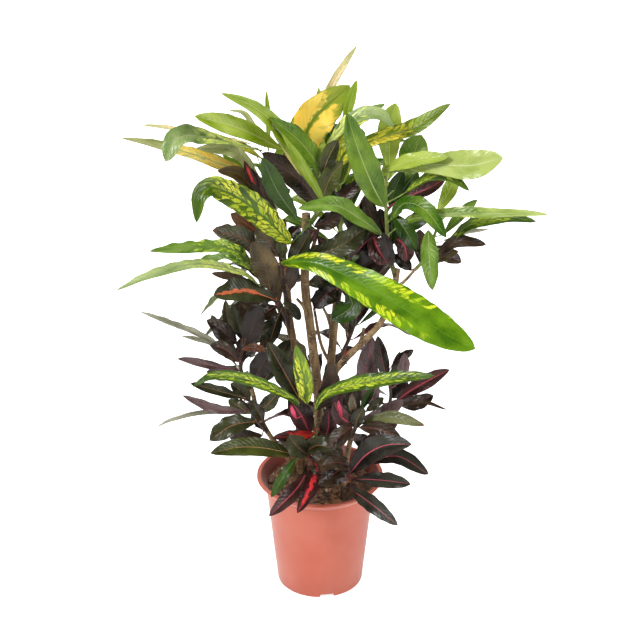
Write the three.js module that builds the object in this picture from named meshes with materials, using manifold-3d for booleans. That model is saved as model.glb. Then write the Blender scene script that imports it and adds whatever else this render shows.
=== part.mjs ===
// A potted croton, about 0.9 m tall: a small bush of several cuttings in one plastic nursery pot.
// Units are millimetres, +Z is up, and the viewer stands on the -Y side. The origin is the middle
// of the pot's underside, on the ground.

import * as THREE from 'three';
import { mergeVertices } from 'three/addons/utils/BufferGeometryUtils.js';
import Module from 'manifold-3d';

const wasm = await Module();
wasm.setup();

// ---------------------------------------------------------------- driving dimensions

const pot = {
  height: 198,
  rimRadius: 105,
  rimWidth: 8,
  rimDrop: 16,
  neckRadius: 90,
  footRadius: 72,
  wall: 2.6,
  floorHeight: 7,
  floorThickness: 3,
  footWidth: 4,
  footRounding: 5,
  hubRadius: 12,
  ribWidth: 2.4,
  ribCount: 4,
  notchWidth: 24,
  notchHeight: 6,
  notchCount: 3,
  notchTurn: 9.5,
  drainRadius: 4.5,
  drainRing: 48,
  sides: 32,
};

const soil = {
  top: 181,
  lump: 2.2,
  rings: 3,
  sides: 20,
};

const gap = 0.3; // clearance left between two touching pieces
const buried = 70; // length of each stem that stands in the soil
const stemStep = 44; // length of one straight stretch of a stem

// ---------------------------------------------------------------- the view that the habit follows

// The plant's habit is traced from one view of it, 640 pixels square. A traced place is written
// [across, down, depth]: the first two in pixels of that view, the third its depth behind the
// pot's axis in millimetres, so a negative depth is nearer the viewer. What points at the viewer
// looks short, so negative depths are drawn out by `nearSpread`.
const view = {
  distance: 2200,
  height: 1500,
  pitch: THREE.MathUtils.degToRad(24.9),
  focal: 1538,
  middle: 320,
  nearSpread: 1.5,
};

function place([across, down, depth]) {
  const a = (across - view.middle) / view.focal;
  const b = (view.middle - down) / view.focal;
  const forward = Math.cos(view.pitch) + Math.sin(view.pitch) * b;
  const rise = -Math.sin(view.pitch) + Math.cos(view.pitch) * b;
  const back = depth < 0 ? depth * view.nearSpread : depth;
  const reach = (view.distance + back) / forward;
  return new THREE.Vector3(reach * a, back, view.height + reach * rise);
}

// ---------------------------------------------------------------- colours

const paint = {
  terracotta: { color: 0xd5785f, roughness: 0.45, metalness: 0 },
  soil: { color: 0x3b2a20, roughness: 0.95, metalness: 0 },
  bark: { color: 0x6f5c4c, roughness: 0.85, metalness: 0 },
  green: { color: 0x5a9a2c, roughness: 0.4, metalness: 0 },
  yellow: { color: 0xc3c33a, roughness: 0.4, metalness: 0 },
  dark: { color: 0x2c4426, roughness: 0.35, metalness: 0 },
  purple: { color: 0x44242c, roughness: 0.35, metalness: 0 },
};

// ---------------------------------------------------------------- stems

// Each woody stem: its radius at the soil and at its top, and its traced path upwards from the
// soil. A branch is a side twig of the same wood, with its own radii and path.
const stems = [
  {
    name: 'trunk_center',
    radii: [8.5, 6.5],
    path: [
      [320, 482, 0], [318, 395, -4], [314, 358, -3], [310, 325, 0], [305, 285, 2], [306, 240, 4],
      [306, 213, 5],
    ],
    branches: [
      { radii: [3.4, 2.6], path: [[308, 262, 4], [315, 240, 8], [320, 222, 10]] },
      { radii: [3, 2.4], path: [[310, 322, 0], [303, 306, -8], [297, 299, -13]] },
    ],
  },
  {
    name: 'trunk_left',
    radii: [7, 5],
    path: [[302, 474, 34], [298, 400, 32], [293, 345, 28], [289, 320, 26], [287, 295, 26], [284, 262, 30]],
    branches: [],
  },
  {
    name: 'trunk_back',
    radii: [7, 5],
    path: [[334, 470, 44], [331, 400, 44], [331, 365, 42], [333, 340, 42], [336, 310, 44], [340, 278, 50]],
    branches: [],
  },
  {
    name: 'trunk_leaning',
    radii: [7, 4.6],
    path: [
      [338, 482, -6], [329, 420, -24], [333, 378, -28], [345, 360, -28], [363, 342, -26],
      [382, 321, -20], [394, 290, -10], [398, 268, -2],
    ],
    branches: [
      { radii: [3.2, 2.6], path: [[358, 347, -27], [362, 338, -36], [364, 329, -43]] },
      { radii: [2.8, 2], path: [[395, 288, -9], [406, 280, -8], [418, 266, -6]] },
    ],
  },
  {
    name: 'stem_low_left',
    radii: [5, 3.4],
    path: [[296, 478, 2], [284, 452, -10], [271, 438, -16], [258, 414, -16], [252, 392, -12], [246, 372, -8]],
    branches: [],
  },
  {
    name: 'stem_low_right',
    radii: [4.6, 3.4],
    path: [[352, 474, 24], [368, 446, 20], [380, 425, 14], [392, 404, 8]],
    branches: [],
  },
  {
    name: 'stem_front',
    radii: [5.5, 4],
    path: [[344, 492, -34], [345, 474, -40], [349, 448, -44], [354, 430, -46]],
    branches: [],
  },
];

// ---------------------------------------------------------------- leafy shoots

// Each shoot: the woody stem that carries it, its green core with two radii, and its leaves. A
// leaf is [width, tilt, widest, ...path]: the blade's full width in millimetres, how far its upper
// face turns from the sky to the viewer in degrees, how far along it is widest in per cent, and
// its midrib's path from blade base to tip.
const shoots = [
  {
    name: 'shoot_crown_left',
    on: 'trunk_center',
    paint: 'yellow',
    radii: [4.6, 2.4],
    core: [[307, 226, 5], [317, 213, -3], [320, 196, 0], [318, 174, 5], [311, 150, 10]],
    leaves: [
      [25, 50, 52, [318, 194, -6], [288, 140, -28], [258, 109, -40], [221, 92, -50]],
      [32, 50, 58, [285, 150, 0], [240, 128, -20], [194, 115, -34]],
      [34, 40, 58, [318, 165, -8], [298, 134, -26], [270, 117, -40]],
      [62, 70, 52, [302, 172, 14], [311, 122, 16], [358, 81, 10]],
      [13, 60, 58, [312, 130, 28], [333, 82, 36], [357, 44, 44]],
      [12, 60, 58, [316, 140, 34], [318, 108, 40], [319, 86, 46]],
      [24, 50, 58, [320, 150, 0], [346, 117, 0], [380, 122, -2]],
      [26, 60, 58, [324, 168, 24], [336, 142, 30], [352, 122, 34]],
      [22, 60, 58, [334, 172, 8], [344, 156, 6], [354, 141, 2]],
      [26, 55, 58, [322, 176, -14], [328, 158, -20], [338, 139, -26]],
      [32, 60, 58, [298, 220, -18], [277, 190, -34], [262, 157, -46]],
      [30, 55, 58, [316, 202, -10], [300, 172, -26], [263, 150, -38]],
      [42, 58, 58, [291, 243, -20], [252, 207, -62], [214, 187, -94], [199, 196, -106], [196, 222, -112]],
      [16, 60, 58, [288, 182, 14], [287, 162, 14], [289, 142, 12]],
      [26, 52, 62, [328, 166, 18], [372, 140, 22], [412, 128, 18], [451, 103, 10]],
      [30, 55, 50, [322, 198, -14], [330, 178, -20], [343, 160, -22]],
      [24, 55, 55, [326, 206, -10], [344, 196, -14], [360, 180, -10]],
      [20, 55, 58, [306, 176, 20], [290, 148, 26], [272, 128, 30]],
    ],
  },
  {
    name: 'shoot_crown_far_left',
    on: 'trunk_left',
    paint: 'green',
    radii: [4, 2.2],
    core: [[285, 268, 29], [281, 232, 36], [272, 200, 42], [264, 165, 48]],
    leaves: [
      [14, 12, 58, [250, 143, 48], [190, 130, 56], [140, 124, 64]],
      [26, 42, 42, [250, 172, 40], [205, 158, 26], [165, 147, 14], [122, 137, 2]],
      [34, 45, 74, [262, 150, 40], [203, 136, 4], [176, 138, -20], [165, 161, -32]],
      [20, 60, 58, [262, 185, 34], [236, 152, 24], [196, 147, 14]],
      [16, 40, 58, [262, 158, 44], [238, 144, 50], [205, 138, 54]],
      [24, 50, 58, [264, 204, 28], [240, 175, 8], [217, 170, -6]],
      [10, 30, 58, [264, 142, 56], [245, 114, 64], [229, 109, 70]],
      [9, 60, 58, [268, 150, 54], [268, 120, 58], [266, 90, 62]],
      [14, 50, 58, [266, 192, 30], [250, 176, 18], [243, 160, 12]],
      [12, 40, 58, [258, 176, 46], [236, 164, 50], [222, 154, 54]],
      [22, 58, 55, [276, 218, 22], [262, 192, 12], [248, 166, 6]],
      [24, 55, 58, [282, 230, 44], [262, 216, 52], [238, 204, 58]],
      [26, 55, 58, [270, 172, 52], [286, 146, 60], [300, 120, 66]],
    ],
  },
  {
    name: 'shoot_crown_right',
    on: 'trunk_leaning',
    paint: 'green',
    radii: [4, 2.4],
    core: [[396, 278, -4], [389, 250, 0], [387, 222, 4], [386, 196, 8], [386, 175, 12]],
    leaves: [
      [44, 70, 48, [384, 206, -4], [372, 183, -14], [357, 145, -22], [347, 112, -24]],
      [38, 62, 60, [390, 172, 34], [390, 130, 46], [396, 102, 52]],
      [46, 58, 62, [402, 182, 28], [412, 158, 36], [422, 134, 42]],
      [46, 50, 74, [386, 174, 2], [425, 165, -24], [470, 166, -52], [504, 157, -68]],
      [19, 45, 58, [404, 193, -2], [428, 177, -20], [450, 176, -34], [470, 190, -44]],
      [24, 45, 58, [402, 198, 8], [428, 188, 8], [446, 182, 8]],
      [26, 60, 58, [390, 208, 14], [395, 190, 18], [403, 170, 22]],
      [28, 50, 58, [390, 220, -8], [405, 203, -30], [426, 210, -50], [447, 237, -64]],
      [20, 40, 58, [392, 231, -10], [414, 218, -24], [450, 213, -46], [500, 213, -70], [549, 214, -90]],
      [26, 60, 58, [392, 212, -10], [406, 230, -24], [417, 250, -30]],
      [30, 50, 58, [384, 236, -14], [364, 221, -34], [335, 205, -54], [298, 208, -66]],
      [22, 60, 58, [384, 238, 12], [372, 216, 14], [364, 196, 16]],
      [36, 68, 55, [374, 236, -6], [378, 248, -16], [388, 264, -20]],
      [30, 60, 55, [382, 230, 22], [370, 216, 30], [364, 196, 36]],
      [24, 60, 50, [380, 236, 30], [352, 222, 36], [346, 192, 44]],
      [30, 60, 55, [392, 236, 14], [404, 244, 8], [408, 262, 2]],
      [34, 55, 55, [392, 200, 30], [404, 188, 44], [418, 170, 54]],
      [28, 55, 55, [396, 226, 20], [414, 222, 28], [436, 206, 34]],
    ],
  },
  {
    name: 'shoot_far_right',
    on: 'trunk_leaning',
    paint: 'green',
    radii: [3, 2],
    core: [[415, 270, -6], [424, 260, -4], [430, 246, -2], [436, 232, 2], [438, 218, 6]],
    leaves: [
      [24, 60, 58, [438, 212, 14], [450, 190, 26], [458, 169, 34]],
      [20, 45, 58, [444, 248, -8], [470, 225, -26], [508, 217, -44], [537, 221, -56]],
      [18, 50, 58, [444, 234, 2], [460, 216, 0], [478, 199, -2]],
      [8, 20, 58, [445, 240, 8], [468, 232, 12], [489, 229, 16]],
      [20, 45, 58, [432, 262, -12], [456, 242, -20], [487, 244, -30]],
      [18, 45, 58, [430, 264, 0], [445, 256, 2], [459, 251, 4]],
      [28, 75, 48, [429, 230, -22], [430, 260, -46], [433, 290, -56]],
      [24, 60, 58, [420, 262, 6], [421, 246, 12], [420, 229, 16]],
      [26, 60, 55, [424, 258, 12], [440, 252, 20], [462, 262, 26]],
    ],
  },
  {
    name: 'shoot_hero',
    on: 'trunk_left',
    paint: 'yellow',
    radii: [4, 2.4],
    core: [[289, 308, 26], [284, 288, 4], [282, 270, -14], [279, 252, -20]],
    leaves: [
      [60, 55, 68, [286, 263, -26], [340, 275, -60], [405, 309, -92], [450, 336, -110], [476, 349, -116]],
      [26, 55, 58, [286, 268, -26], [298, 252, -30], [310, 231, -32]],
      [38, 50, 60, [290, 262, -22], [336, 248, -24], [370, 224, -10]],
      [38, 60, 55, [277, 256, -22], [268, 240, -24], [256, 226, -22]],
      [18, 60, 58, [283, 258, -22], [282, 250, -26], [279, 238, -28]],
      [22, 60, 58, [290, 290, -18], [292, 274, -30], [295, 258, -38]],
      [30, 55, 58, [276, 252, -14], [252, 228, -12], [230, 213, -14]],
      [36, 50, 60, [272, 256, -8], [242, 238, -26], [212, 230, -38]],
      [26, 60, 55, [288, 262, -10], [300, 244, -8], [318, 230, -8]],
      [22, 60, 55, [284, 252, -8], [280, 236, -2], [284, 218, 2]],
    ],
  },
  {
    name: 'shoot_middle_left',
    on: 'trunk_left',
    paint: 'dark',
    radii: [4, 2.4],
    core: [[290, 326, 27], [280, 304, 0], [272, 290, -14], [263, 284, -22]],
    leaves: [
      [24, 45, 58, [262, 280, -26], [236, 251, -50], [200, 247, -66], [149, 251, -78]],
      [18, 45, 58, [260, 286, -28], [240, 272, -44], [195, 264, -70], [150, 275, -86], [116, 290, -92]],
      [44, 50, 62, [276, 298, -16], [246, 284, -40], [212, 292, -58]],
      [40, 62, 55, [270, 290, -30], [264, 264, -46], [252, 241, -56]],
      [14, 50, 58, [260, 288, -10], [236, 278, -8], [211, 273, -6]],
      [26, 60, 55, [276, 306, -12], [266, 312, -20], [254, 318, -24]],
      [28, 62, 52, [282, 312, -8], [280, 328, -18], [276, 346, -22]],
      [24, 60, 55, [270, 300, 2], [254, 304, 8], [238, 300, 10]],
      [26, 60, 55, [284, 300, -14], [296, 306, -24], [302, 320, -30]],
    ],
  },
  {
    name: 'shoot_middle',
    on: 'trunk_back',
    paint: 'dark',
    radii: [4, 2.4],
    core: [[335, 318, 43], [340, 292, 26], [346, 270, 14], [352, 250, 10]],
    leaves: [
      [44, 55, 58, [348, 276, 8], [366, 266, -2], [389, 254, -12]],
      [36, 60, 58, [346, 290, 14], [352, 306, 4], [332, 320, -2]],
      [30, 60, 58, [336, 288, 20], [326, 294, 12], [314, 308, 6]],
      [22, 60, 58, [340, 270, 8], [330, 254, 4], [318, 236, 2]],
      [22, 60, 58, [350, 258, 6], [358, 240, 2], [372, 222, 22]],
      [26, 60, 58, [354, 270, 18], [368, 282, 14], [378, 296, 8]],
      [28, 60, 55, [336, 276, 20], [322, 262, 24], [312, 246, 28]],
      [26, 60, 55, [355, 254, 14], [364, 244, 14], [376, 234, 16]],
      [26, 60, 55, [344, 282, 30], [358, 286, 40], [374, 282, 48]],
    ],
  },
  {
    name: 'shoot_twig_left',
    on: 'stem_low_left',
    paint: 'dark',
    radii: [3.2, 2],
    core: [[250, 388, -12], [242, 377, -20], [240, 357, -26], [246, 338, -25]],
    leaves: [
      [13, 30, 58, [236, 366, -16], [222, 350, -24], [205, 338, -30], [175, 325, -40], [140, 312, -50]],
      [9, 20, 58, [226, 352, -8], [205, 342, -8], [181, 336, -8]],
      [20, 55, 58, [236, 350, 4], [220, 334, 8], [211, 315, 12]],
      [18, 50, 58, [238, 360, 0], [225, 352, 2], [208, 342, 4]],
      [16, 65, 58, [236, 340, -4], [228, 322, -2], [225, 300, 0]],
      [16, 65, 58, [242, 336, -8], [236, 320, -8], [232, 303, -6]],
      [36, 60, 58, [246, 346, -22], [252, 328, -30], [259, 305, -34]],
      [22, 60, 58, [258, 356, 0], [268, 334, 6], [276, 310, 10]],
      [20, 60, 58, [248, 362, -24], [258, 350, -32], [270, 346, -38]],
      [36, 62, 58, [252, 382, -22], [260, 368, -30], [272, 350, -34]],
      [30, 62, 58, [262, 384, -8], [276, 362, -8], [290, 340, -8]],
      [15, 45, 58, [240, 371, -18], [215, 367, -28], [190, 361, -36], [177, 359, -40]],
      [28, 55, 55, [236, 344, -14], [221, 330, -18], [206, 320, -20]],
      [28, 60, 55, [248, 346, -14], [262, 332, -10], [282, 326, -6]],
      [30, 60, 55, [242, 340, 4], [238, 320, 10], [240, 300, 14]],
      [26, 55, 58, [238, 362, -34], [226, 350, -42], [210, 345, -48]],
      [26, 55, 55, [240, 366, 2], [226, 374, 10], [206, 372, 16]],
    ],
  },
  {
    name: 'shoot_low_left',
    on: 'stem_low_left',
    paint: 'dark',
    radii: [3.4, 2.2],
    core: [[268, 434, -16], [256, 420, -26], [248, 408, -34], [240, 400, -40]],
    leaves: [
      [18, 50, 58, [246, 399, -44], [220, 392, -56], [190, 384, -66]],
      [24, 55, 58, [250, 402, -32], [242, 392, -34], [230, 384, -38]],
      [24, 50, 58, [244, 412, -40], [214, 409, -54], [182, 397, -64]],
      [9, 30, 58, [246, 414, -34], [205, 413, -46], [172, 420, -56], [157, 427, -60]],
      [34, 52, 58, [256, 422, -40], [232, 426, -56], [209, 441, -66]],
      [20, 60, 58, [263, 422, -34], [258, 412, -42], [252, 402, -50]],
      [24, 60, 58, [258, 412, -26], [268, 404, -34], [278, 393, -38]],
      [26, 55, 58, [262, 436, -30], [246, 438, -42], [228, 436, -50]],
    ],
  },
  {
    name: 'shoot_center',
    on: 'trunk_center',
    paint: 'yellow',
    radii: [4, 2.4],
    core: [[317, 446, -3], [314, 430, -22], [310, 416, -34], [307, 402, -40]],
    leaves: [
      [28, 72, 58, [306, 404, -46], [305, 380, -54], [297, 347, -58]],
      [22, 48, 58, [313, 414, -40], [324, 394, -52], [350, 386, -64], [392, 379, -84], [435, 376, -100]],
      [
        19, 48, 58,
        [304, 412, -42], [296, 402, -54], [270, 388, -70], [240, 378, -84], [212, 376, -94], [192, 387, -100],
      ],
      [38, 58, 55, [304, 408, -34], [286, 376, -38], [267, 342, -40]],
      [38, 58, 55, [310, 434, -36], [301, 416, -48], [288, 398, -56]],
      [18, 42, 58, [314, 434, -34], [296, 437, -52], [273, 438, -66]],
      [28, 60, 52, [320, 430, -30], [334, 414, -36], [344, 392, -40]],
      [28, 60, 52, [319, 446, -24], [328, 430, -38], [328, 408, -46]],
      [30, 60, 50, [316, 410, -32], [330, 388, -40], [330, 362, -44]],
      [24, 60, 55, [308, 400, -30], [298, 372, -30], [290, 350, -28]],
      [26, 55, 55, [312, 438, -34], [298, 442, -38], [284, 438, -36]],
      [26, 60, 55, [318, 438, -36], [330, 444, -54], [342, 458, -62]],
    ],
  },
  {
    name: 'shoot_right_mid',
    on: 'stem_front',
    paint: 'purple',
    radii: [3.6, 2.2],
    core: [[350, 440, -45], [357, 426, -50], [361, 416, -52]],
    leaves: [
      [25, 50, 58, [366, 420, -56], [392, 416, -70], [425, 426, -84]],
      [22, 60, 58, [356, 430, -58], [357, 420, -64], [364, 408, -66]],
      [14, 65, 58, [361, 412, -48], [366, 400, -46], [374, 387, -44]],
      [15, 65, 58, [366, 412, -52], [374, 406, -54], [384, 398, -54]],
      [13, 65, 58, [356, 418, -56], [353, 408, -62], [352, 394, -64]],
      [30, 58, 52, [367, 420, -50], [380, 425, -27], [398, 424, -8]],
      [30, 60, 52, [356, 424, -46], [352, 400, -44], [358, 374, -42]],
      [26, 60, 55, [356, 426, -58], [342, 418, -68], [334, 402, -72]],
      [26, 55, 55, [360, 428, -60], [380, 430, -74], [402, 440, -84]],
      [28, 60, 55, [352, 427, -66], [341, 436, -80], [328, 450, -90]],
      [26, 60, 55, [362, 420, -44], [384, 414, -36], [404, 400, -32]],
    ],
  },
  {
    name: 'shoot_low_right',
    on: 'stem_low_right',
    paint: 'purple',
    radii: [3.2, 2],
    core: [[388, 411, 9], [391, 398, 4], [390, 384, 2], [388, 370, 2]],
    leaves: [
      [42, 68, 50, [376, 410, 0], [366, 374, -6], [374, 334, -8]],
      [22, 70, 58, [388, 384, -8], [383, 362, -16], [378, 336, -20]],
      [20, 65, 58, [396, 386, 0], [403, 372, -2], [405, 353, -4]],
      [15, 50, 58, [392, 366, 6], [402, 358, 8], [414, 350, 10]],
      [26, 50, 58, [396, 402, -2], [416, 388, -14], [450, 370, -28]],
      [8, 35, 58, [396, 407, -4], [420, 402, -16], [447, 410, -26]],
      [24, 60, 55, [384, 404, 12], [366, 396, 16], [348, 380, 20]],
      [28, 60, 52, [392, 396, 14], [398, 374, 22], [400, 352, 28]],
      [26, 55, 55, [397, 402, 12], [414, 404, 22], [434, 396, 32]],
    ],
  },
  {
    name: 'shoot_front_right',
    on: 'stem_front',
    paint: 'purple',
    radii: [4, 2.6],
    core: [[345, 480, -38], [350, 472, -52], [356, 464, -60]],
    leaves: [
      [42, 52, 58, [354, 470, -56], [364, 460, -62], [386, 448, -74], [413, 446, -88]],
      [26, 50, 58, [362, 458, -72], [395, 454, -96], [429, 475, -116]],
      [27, 45, 58, [354, 480, -62], [381, 481, -88], [411, 485, -110]],
      [26, 50, 58, [348, 488, -66], [372, 505, -112], [398, 526, -136]],
      [28, 55, 55, [356, 458, -50], [370, 444, -42], [394, 440, -36]],
      [26, 58, 55, [350, 466, -64], [337, 463, -80], [321, 466, -90]],
      [26, 52, 55, [346, 480, -60], [334, 478, -78], [318, 486, -90]],
      [22, 55, 55, [350, 484, -62], [350, 492, -80], [344, 502, -92]],
      [26, 55, 55, [348, 470, -58], [338, 472, -74], [328, 480, -84]],
    ],
  },
  {
    name: 'shoot_front_left',
    on: 'trunk_center',
    paint: 'purple',
    radii: [4.4, 2.8],
    core: [[318, 472, -1], [314, 462, -26], [308, 454, -44], [302, 450, -54]],
    leaves: [
      [36, 58, 58, [308, 456, -50], [298, 448, -62], [288, 436, -70]],
      [30, 55, 55, [312, 456, -46], [324, 452, -64], [336, 462, -76]],
      [28, 55, 50, [318, 468, -40], [313, 482, -84], [304, 502, -110], [297, 514, -122]],
      [24, 52, 58, [308, 470, -54], [296, 490, -88], [269, 517, -118]],
      [32, 50, 58, [298, 456, -56], [265, 449, -76], [238, 448, -92], [210, 454, -104]],
      [22, 60, 55, [296, 458, -60], [284, 478, -78], [274, 495, -86]],
      [24, 55, 55, [306, 466, -52], [312, 478, -68], [326, 488, -78]],
      [28, 50, 55, [306, 452, -52], [318, 446, -66], [334, 450, -76]],
      [26, 55, 55, [302, 452, -40], [286, 448, -34], [268, 450, -30]],
    ],
  },
];

// ---------------------------------------------------------------- shoots at the back

// The back of the bush grows by a rule. Each shoot: its stem, its core as real places, and how
// many leaves it has, how long and wide they are, and the arc of directions that they fill,
// in degrees from +X towards +Y.
const backShoots = [
  {
    name: 'shoot_back_crown',
    on: 'trunk_back',
    paint: 'green',
    radii: [4.4, 2.4],
    core: [[340, 284, 49], [342, 250, 70], [340, 215, 84], [338, 180, 92]],
    rule: { count: 16, length: [150, 205], width: [28, 42], arc: [8, 158], rise: [18, 60], droop: 48 },
  },
  {
    name: 'shoot_back_left',
    on: 'trunk_left',
    paint: 'dark',
    radii: [4, 2.2],
    core: [[291, 332, 27], [280, 312, 60], [272, 290, 84], [268, 268, 98]],
    rule: { count: 11, length: [120, 165], width: [24, 34], arc: [70, 172], rise: [-8, 24], droop: 38 },
  },
  {
    name: 'shoot_back_right',
    on: 'trunk_back',
    paint: 'purple',
    radii: [4, 2.2],
    core: [[331, 372, 43], [344, 350, 76], [354, 326, 96], [360, 300, 108]],
    rule: { count: 12, length: [110, 160], width: [22, 32], arc: [22, 118], rise: [-4, 40], droop: 40 },
  },
  {
    name: 'shoot_back_low',
    on: 'trunk_back',
    paint: 'purple',
    radii: [4, 2.2],
    core: [[332, 440, 44], [326, 418, 76], [320, 400, 92], [316, 384, 100]],
    rule: { count: 12, length: [100, 150], width: [22, 32], arc: [15, 165], rise: [-5, 40], droop: 45 },
  },
];

// ---------------------------------------------------------------- leaf form

const blade = {
  shortStations: [0, 0.28, 0.6, 0.88],
  stations: [0, 0.2, 0.45, 0.7, 0.9],
  longStations: [0, 0.12, 0.3, 0.5, 0.7, 0.88],
  shortUpTo: 190,
  longFrom: 290,
  rootFrom: 16,
  fold: THREE.MathUtils.degToRad(14),
  waves: 2.2,
  waveHeight: 0.075,
  midrib: 0.9,
  petiole: 1.3,
};

const up = new THREE.Vector3(0, 0, 1);

// A linear congruential draw, the same on every run.
function makeDraw(seed) {
  let state = seed;
  return (low, high) => {
    state = (state * 1664525 + 1013904223) % 4294967296;
    return low + (high - low) * (state / 4294967296);
  };
}

function curveThrough(points) {
  return new THREE.CatmullRomCurve3(points, false, 'catmullrom', 0.5);
}

// The blade's width at t along the midrib, as a share of its greatest width, which lies at
// `widest` per cent.
function outline(t, widest) {
  const skew = Math.log(0.5) / Math.log(widest / 100);
  return Math.sin(Math.PI * Math.pow(t, skew)) ** 0.62;
}

// The nearest point of a polyline to a place, taken a little further down it, where a leaf that
// leans outwards would leave the stem.
function rootOn(line, target) {
  let best = { distance: Infinity };
  let travelled = 0;
  for (let i = 0; i < line.length - 1; i += 1) {
    const step = new THREE.Vector3().subVectors(line[i + 1], line[i]);
    const length = step.length();
    const share = step.dot(new THREE.Vector3().subVectors(target, line[i])) / (length * length);
    const clamped = Math.min(Math.max(share, 0), 1);
    const distance = line[i].clone().addScaledVector(step, clamped).distanceTo(target);
    if (distance < best.distance) best = { distance, at: travelled + length * clamped };
    travelled += length;
  }
  let left = Math.min(Math.max(best.at - 0.6 * best.distance, blade.rootFrom), travelled - 1);
  for (let i = 0; i < line.length - 1; i += 1) {
    const length = line[i].distanceTo(line[i + 1]);
    if (left <= length) return line[i].clone().lerp(line[i + 1], left / length);
    left -= length;
  }
  return line[line.length - 1].clone();
}

// Unit vectors across and out of a blade that runs along `forward` with its face towards `face`.
function bladeFrame(forward, face) {
  const across = new THREE.Vector3().crossVectors(forward, face).normalize();
  const out = new THREE.Vector3().crossVectors(across, forward).normalize();
  return { across, out };
}

// One section of a leaf: left edge, top of the midrib, right edge, underside of the midrib.
function section(centre, frame, half, thick, lifts) {
  const lift = half * Math.sin(blade.fold);
  const side = half * Math.cos(blade.fold);
  const point = (across, out) => {
    const moved = centre.clone().addScaledVector(frame.across, across);
    return moved.addScaledVector(frame.out, out);
  };
  return [point(-side, lift + lifts[0]), point(0, thick), point(side, lift + lifts[1]), point(0, -thick)];
}

// A closed mesh through rings of points. The last ring closes on `tip`, or on itself if there is
// no tip. Each wall quad is split from its even corner, so the two faces of a thin blade, whose
// even corners are its edges, are split alike.
function loft(rings, tip) {
  const count = rings[0].length;
  const points = rings.flat();
  const index = [];
  for (let k = 1; k < count - 1; k += 1) index.push(0, k + 1, k);
  for (let i = 0; i < rings.length - 1; i += 1) {
    for (let k = 0; k < count; k += 1) {
      const a = i * count + k;
      const b = i * count + ((k + 1) % count);
      const c = a + count;
      const d = b + count;
      if (k % 2 === 0) index.push(a, b, d, a, d, c);
      else index.push(a, b, c, b, d, c);
    }
  }
  const last = (rings.length - 1) * count;
  if (tip) {
    points.push(tip);
    for (let k = 0; k < count; k += 1) index.push(last + k, last + ((k + 1) % count), points.length - 1);
  } else {
    for (let k = 1; k < count - 1; k += 1) index.push(last, last + k, last + k + 1);
  }
  const geometry = new THREE.BufferGeometry().setFromPoints(points);
  geometry.setIndex(index);
  return geometry;
}

// A leaf: a thin petiole from the stem's line to the blade's base, then the waved blade.
function leafGeometry(line, { path, width, widest, face }, phase) {
  const curve = curveThrough(path);
  const length = curve.getLength();
  let stations = length > blade.longFrom ? blade.longStations : blade.stations;
  if (length < blade.shortUpTo) stations = blade.shortStations;
  const root = rootOn(line, path[0]);
  const start = curve.getTangentAt(0);
  const stalk = new THREE.Vector3().subVectors(path[0], root);
  const stalkWay = stalk.length() > 2 ? stalk.clone().normalize() : start;
  const rings = [section(root, bladeFrame(stalkWay, face), blade.petiole, blade.petiole, [0, 0])];
  for (const t of stations) {
    const forward = t === 0 ? start.clone().add(stalkWay).normalize() : curve.getTangentAt(t);
    const full = width * outline(t, widest);
    const half = Math.max(0.5 * full, blade.petiole);
    const height = blade.waveHeight * full;
    const turn = 2 * Math.PI * blade.waves * t + phase;
    const lifts = [height * Math.sin(turn), height * Math.sin(turn + 1.4)];
    const thick = blade.midrib * (1.2 - 0.6 * t);
    rings.push(section(curve.getPointAt(t), bladeFrame(forward, face), half, thick, lifts));
  }
  return loft(rings, curve.getPointAt(1));
}

// ---------------------------------------------------------------- solids

function solidOf(geometry) {
  const bare = geometry.clone();
  bare.deleteAttribute('normal');
  bare.deleteAttribute('uv');
  const merged = mergeVertices(bare, 1e-4);
  const mesh = new wasm.Mesh({
    numProp: 3,
    vertProperties: new Float32Array(merged.attributes.position.array),
    triVerts: new Uint32Array(merged.index.array),
  });
  return new wasm.Manifold(mesh);
}

function geometryOf(solid) {
  const mesh = solid.getMesh();
  const geometry = new THREE.BufferGeometry();
  geometry.setAttribute('position', new THREE.BufferAttribute(new Float32Array(mesh.vertProperties), 3));
  geometry.setIndex(new THREE.BufferAttribute(new Uint32Array(mesh.triVerts), 1));
  geometry.computeVertexNormals();
  return geometry;
}

function joined(solids) {
  return solids.reduce((whole, solid) => whole.add(solid));
}

// A tapered round stem through places, with `extra` added to its radius.
function stemSolid(points, radii, sides, extra = 0) {
  const curve = curveThrough(points);
  const steps = Math.max(3, Math.round(curve.getLength() / stemStep));
  const rings = [];
  for (let i = 0; i <= steps; i += 1) {
    const t = i / steps;
    const radius = radii[0] + (radii[1] - radii[0]) * t + extra;
    const frame = bladeFrame(curve.getTangentAt(t), new THREE.Vector3(0, -1, 0));
    const ring = [];
    for (let k = 0; k < sides; k += 1) {
      const turn = (2 * Math.PI * k) / sides;
      const centre = curve.getPointAt(t);
      centre.addScaledVector(frame.across, radius * Math.cos(turn));
      ring.push(centre.addScaledVector(frame.out, -radius * Math.sin(turn)));
    }
    rings.push(ring);
  }
  return solidOf(loft(rings));
}

// The places of a woody stem, with a straight stretch that stands in the soil.
function rooted(path, depth) {
  const places = path.map(place);
  return [places[0].clone().addScaledVector(up, -depth), ...places];
}

// ---------------------------------------------------------------- pot and soil

function ring(profile, sides) {
  const points = profile.map(([r, z]) => new THREE.Vector2(r, z));
  return new THREE.LatheGeometry(points, sides).rotateX(Math.PI / 2);
}

function wallRadius(z) {
  return pot.footRadius + ((pot.neckRadius - pot.footRadius) * z) / (pot.height - pot.rimDrop);
}

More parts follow.
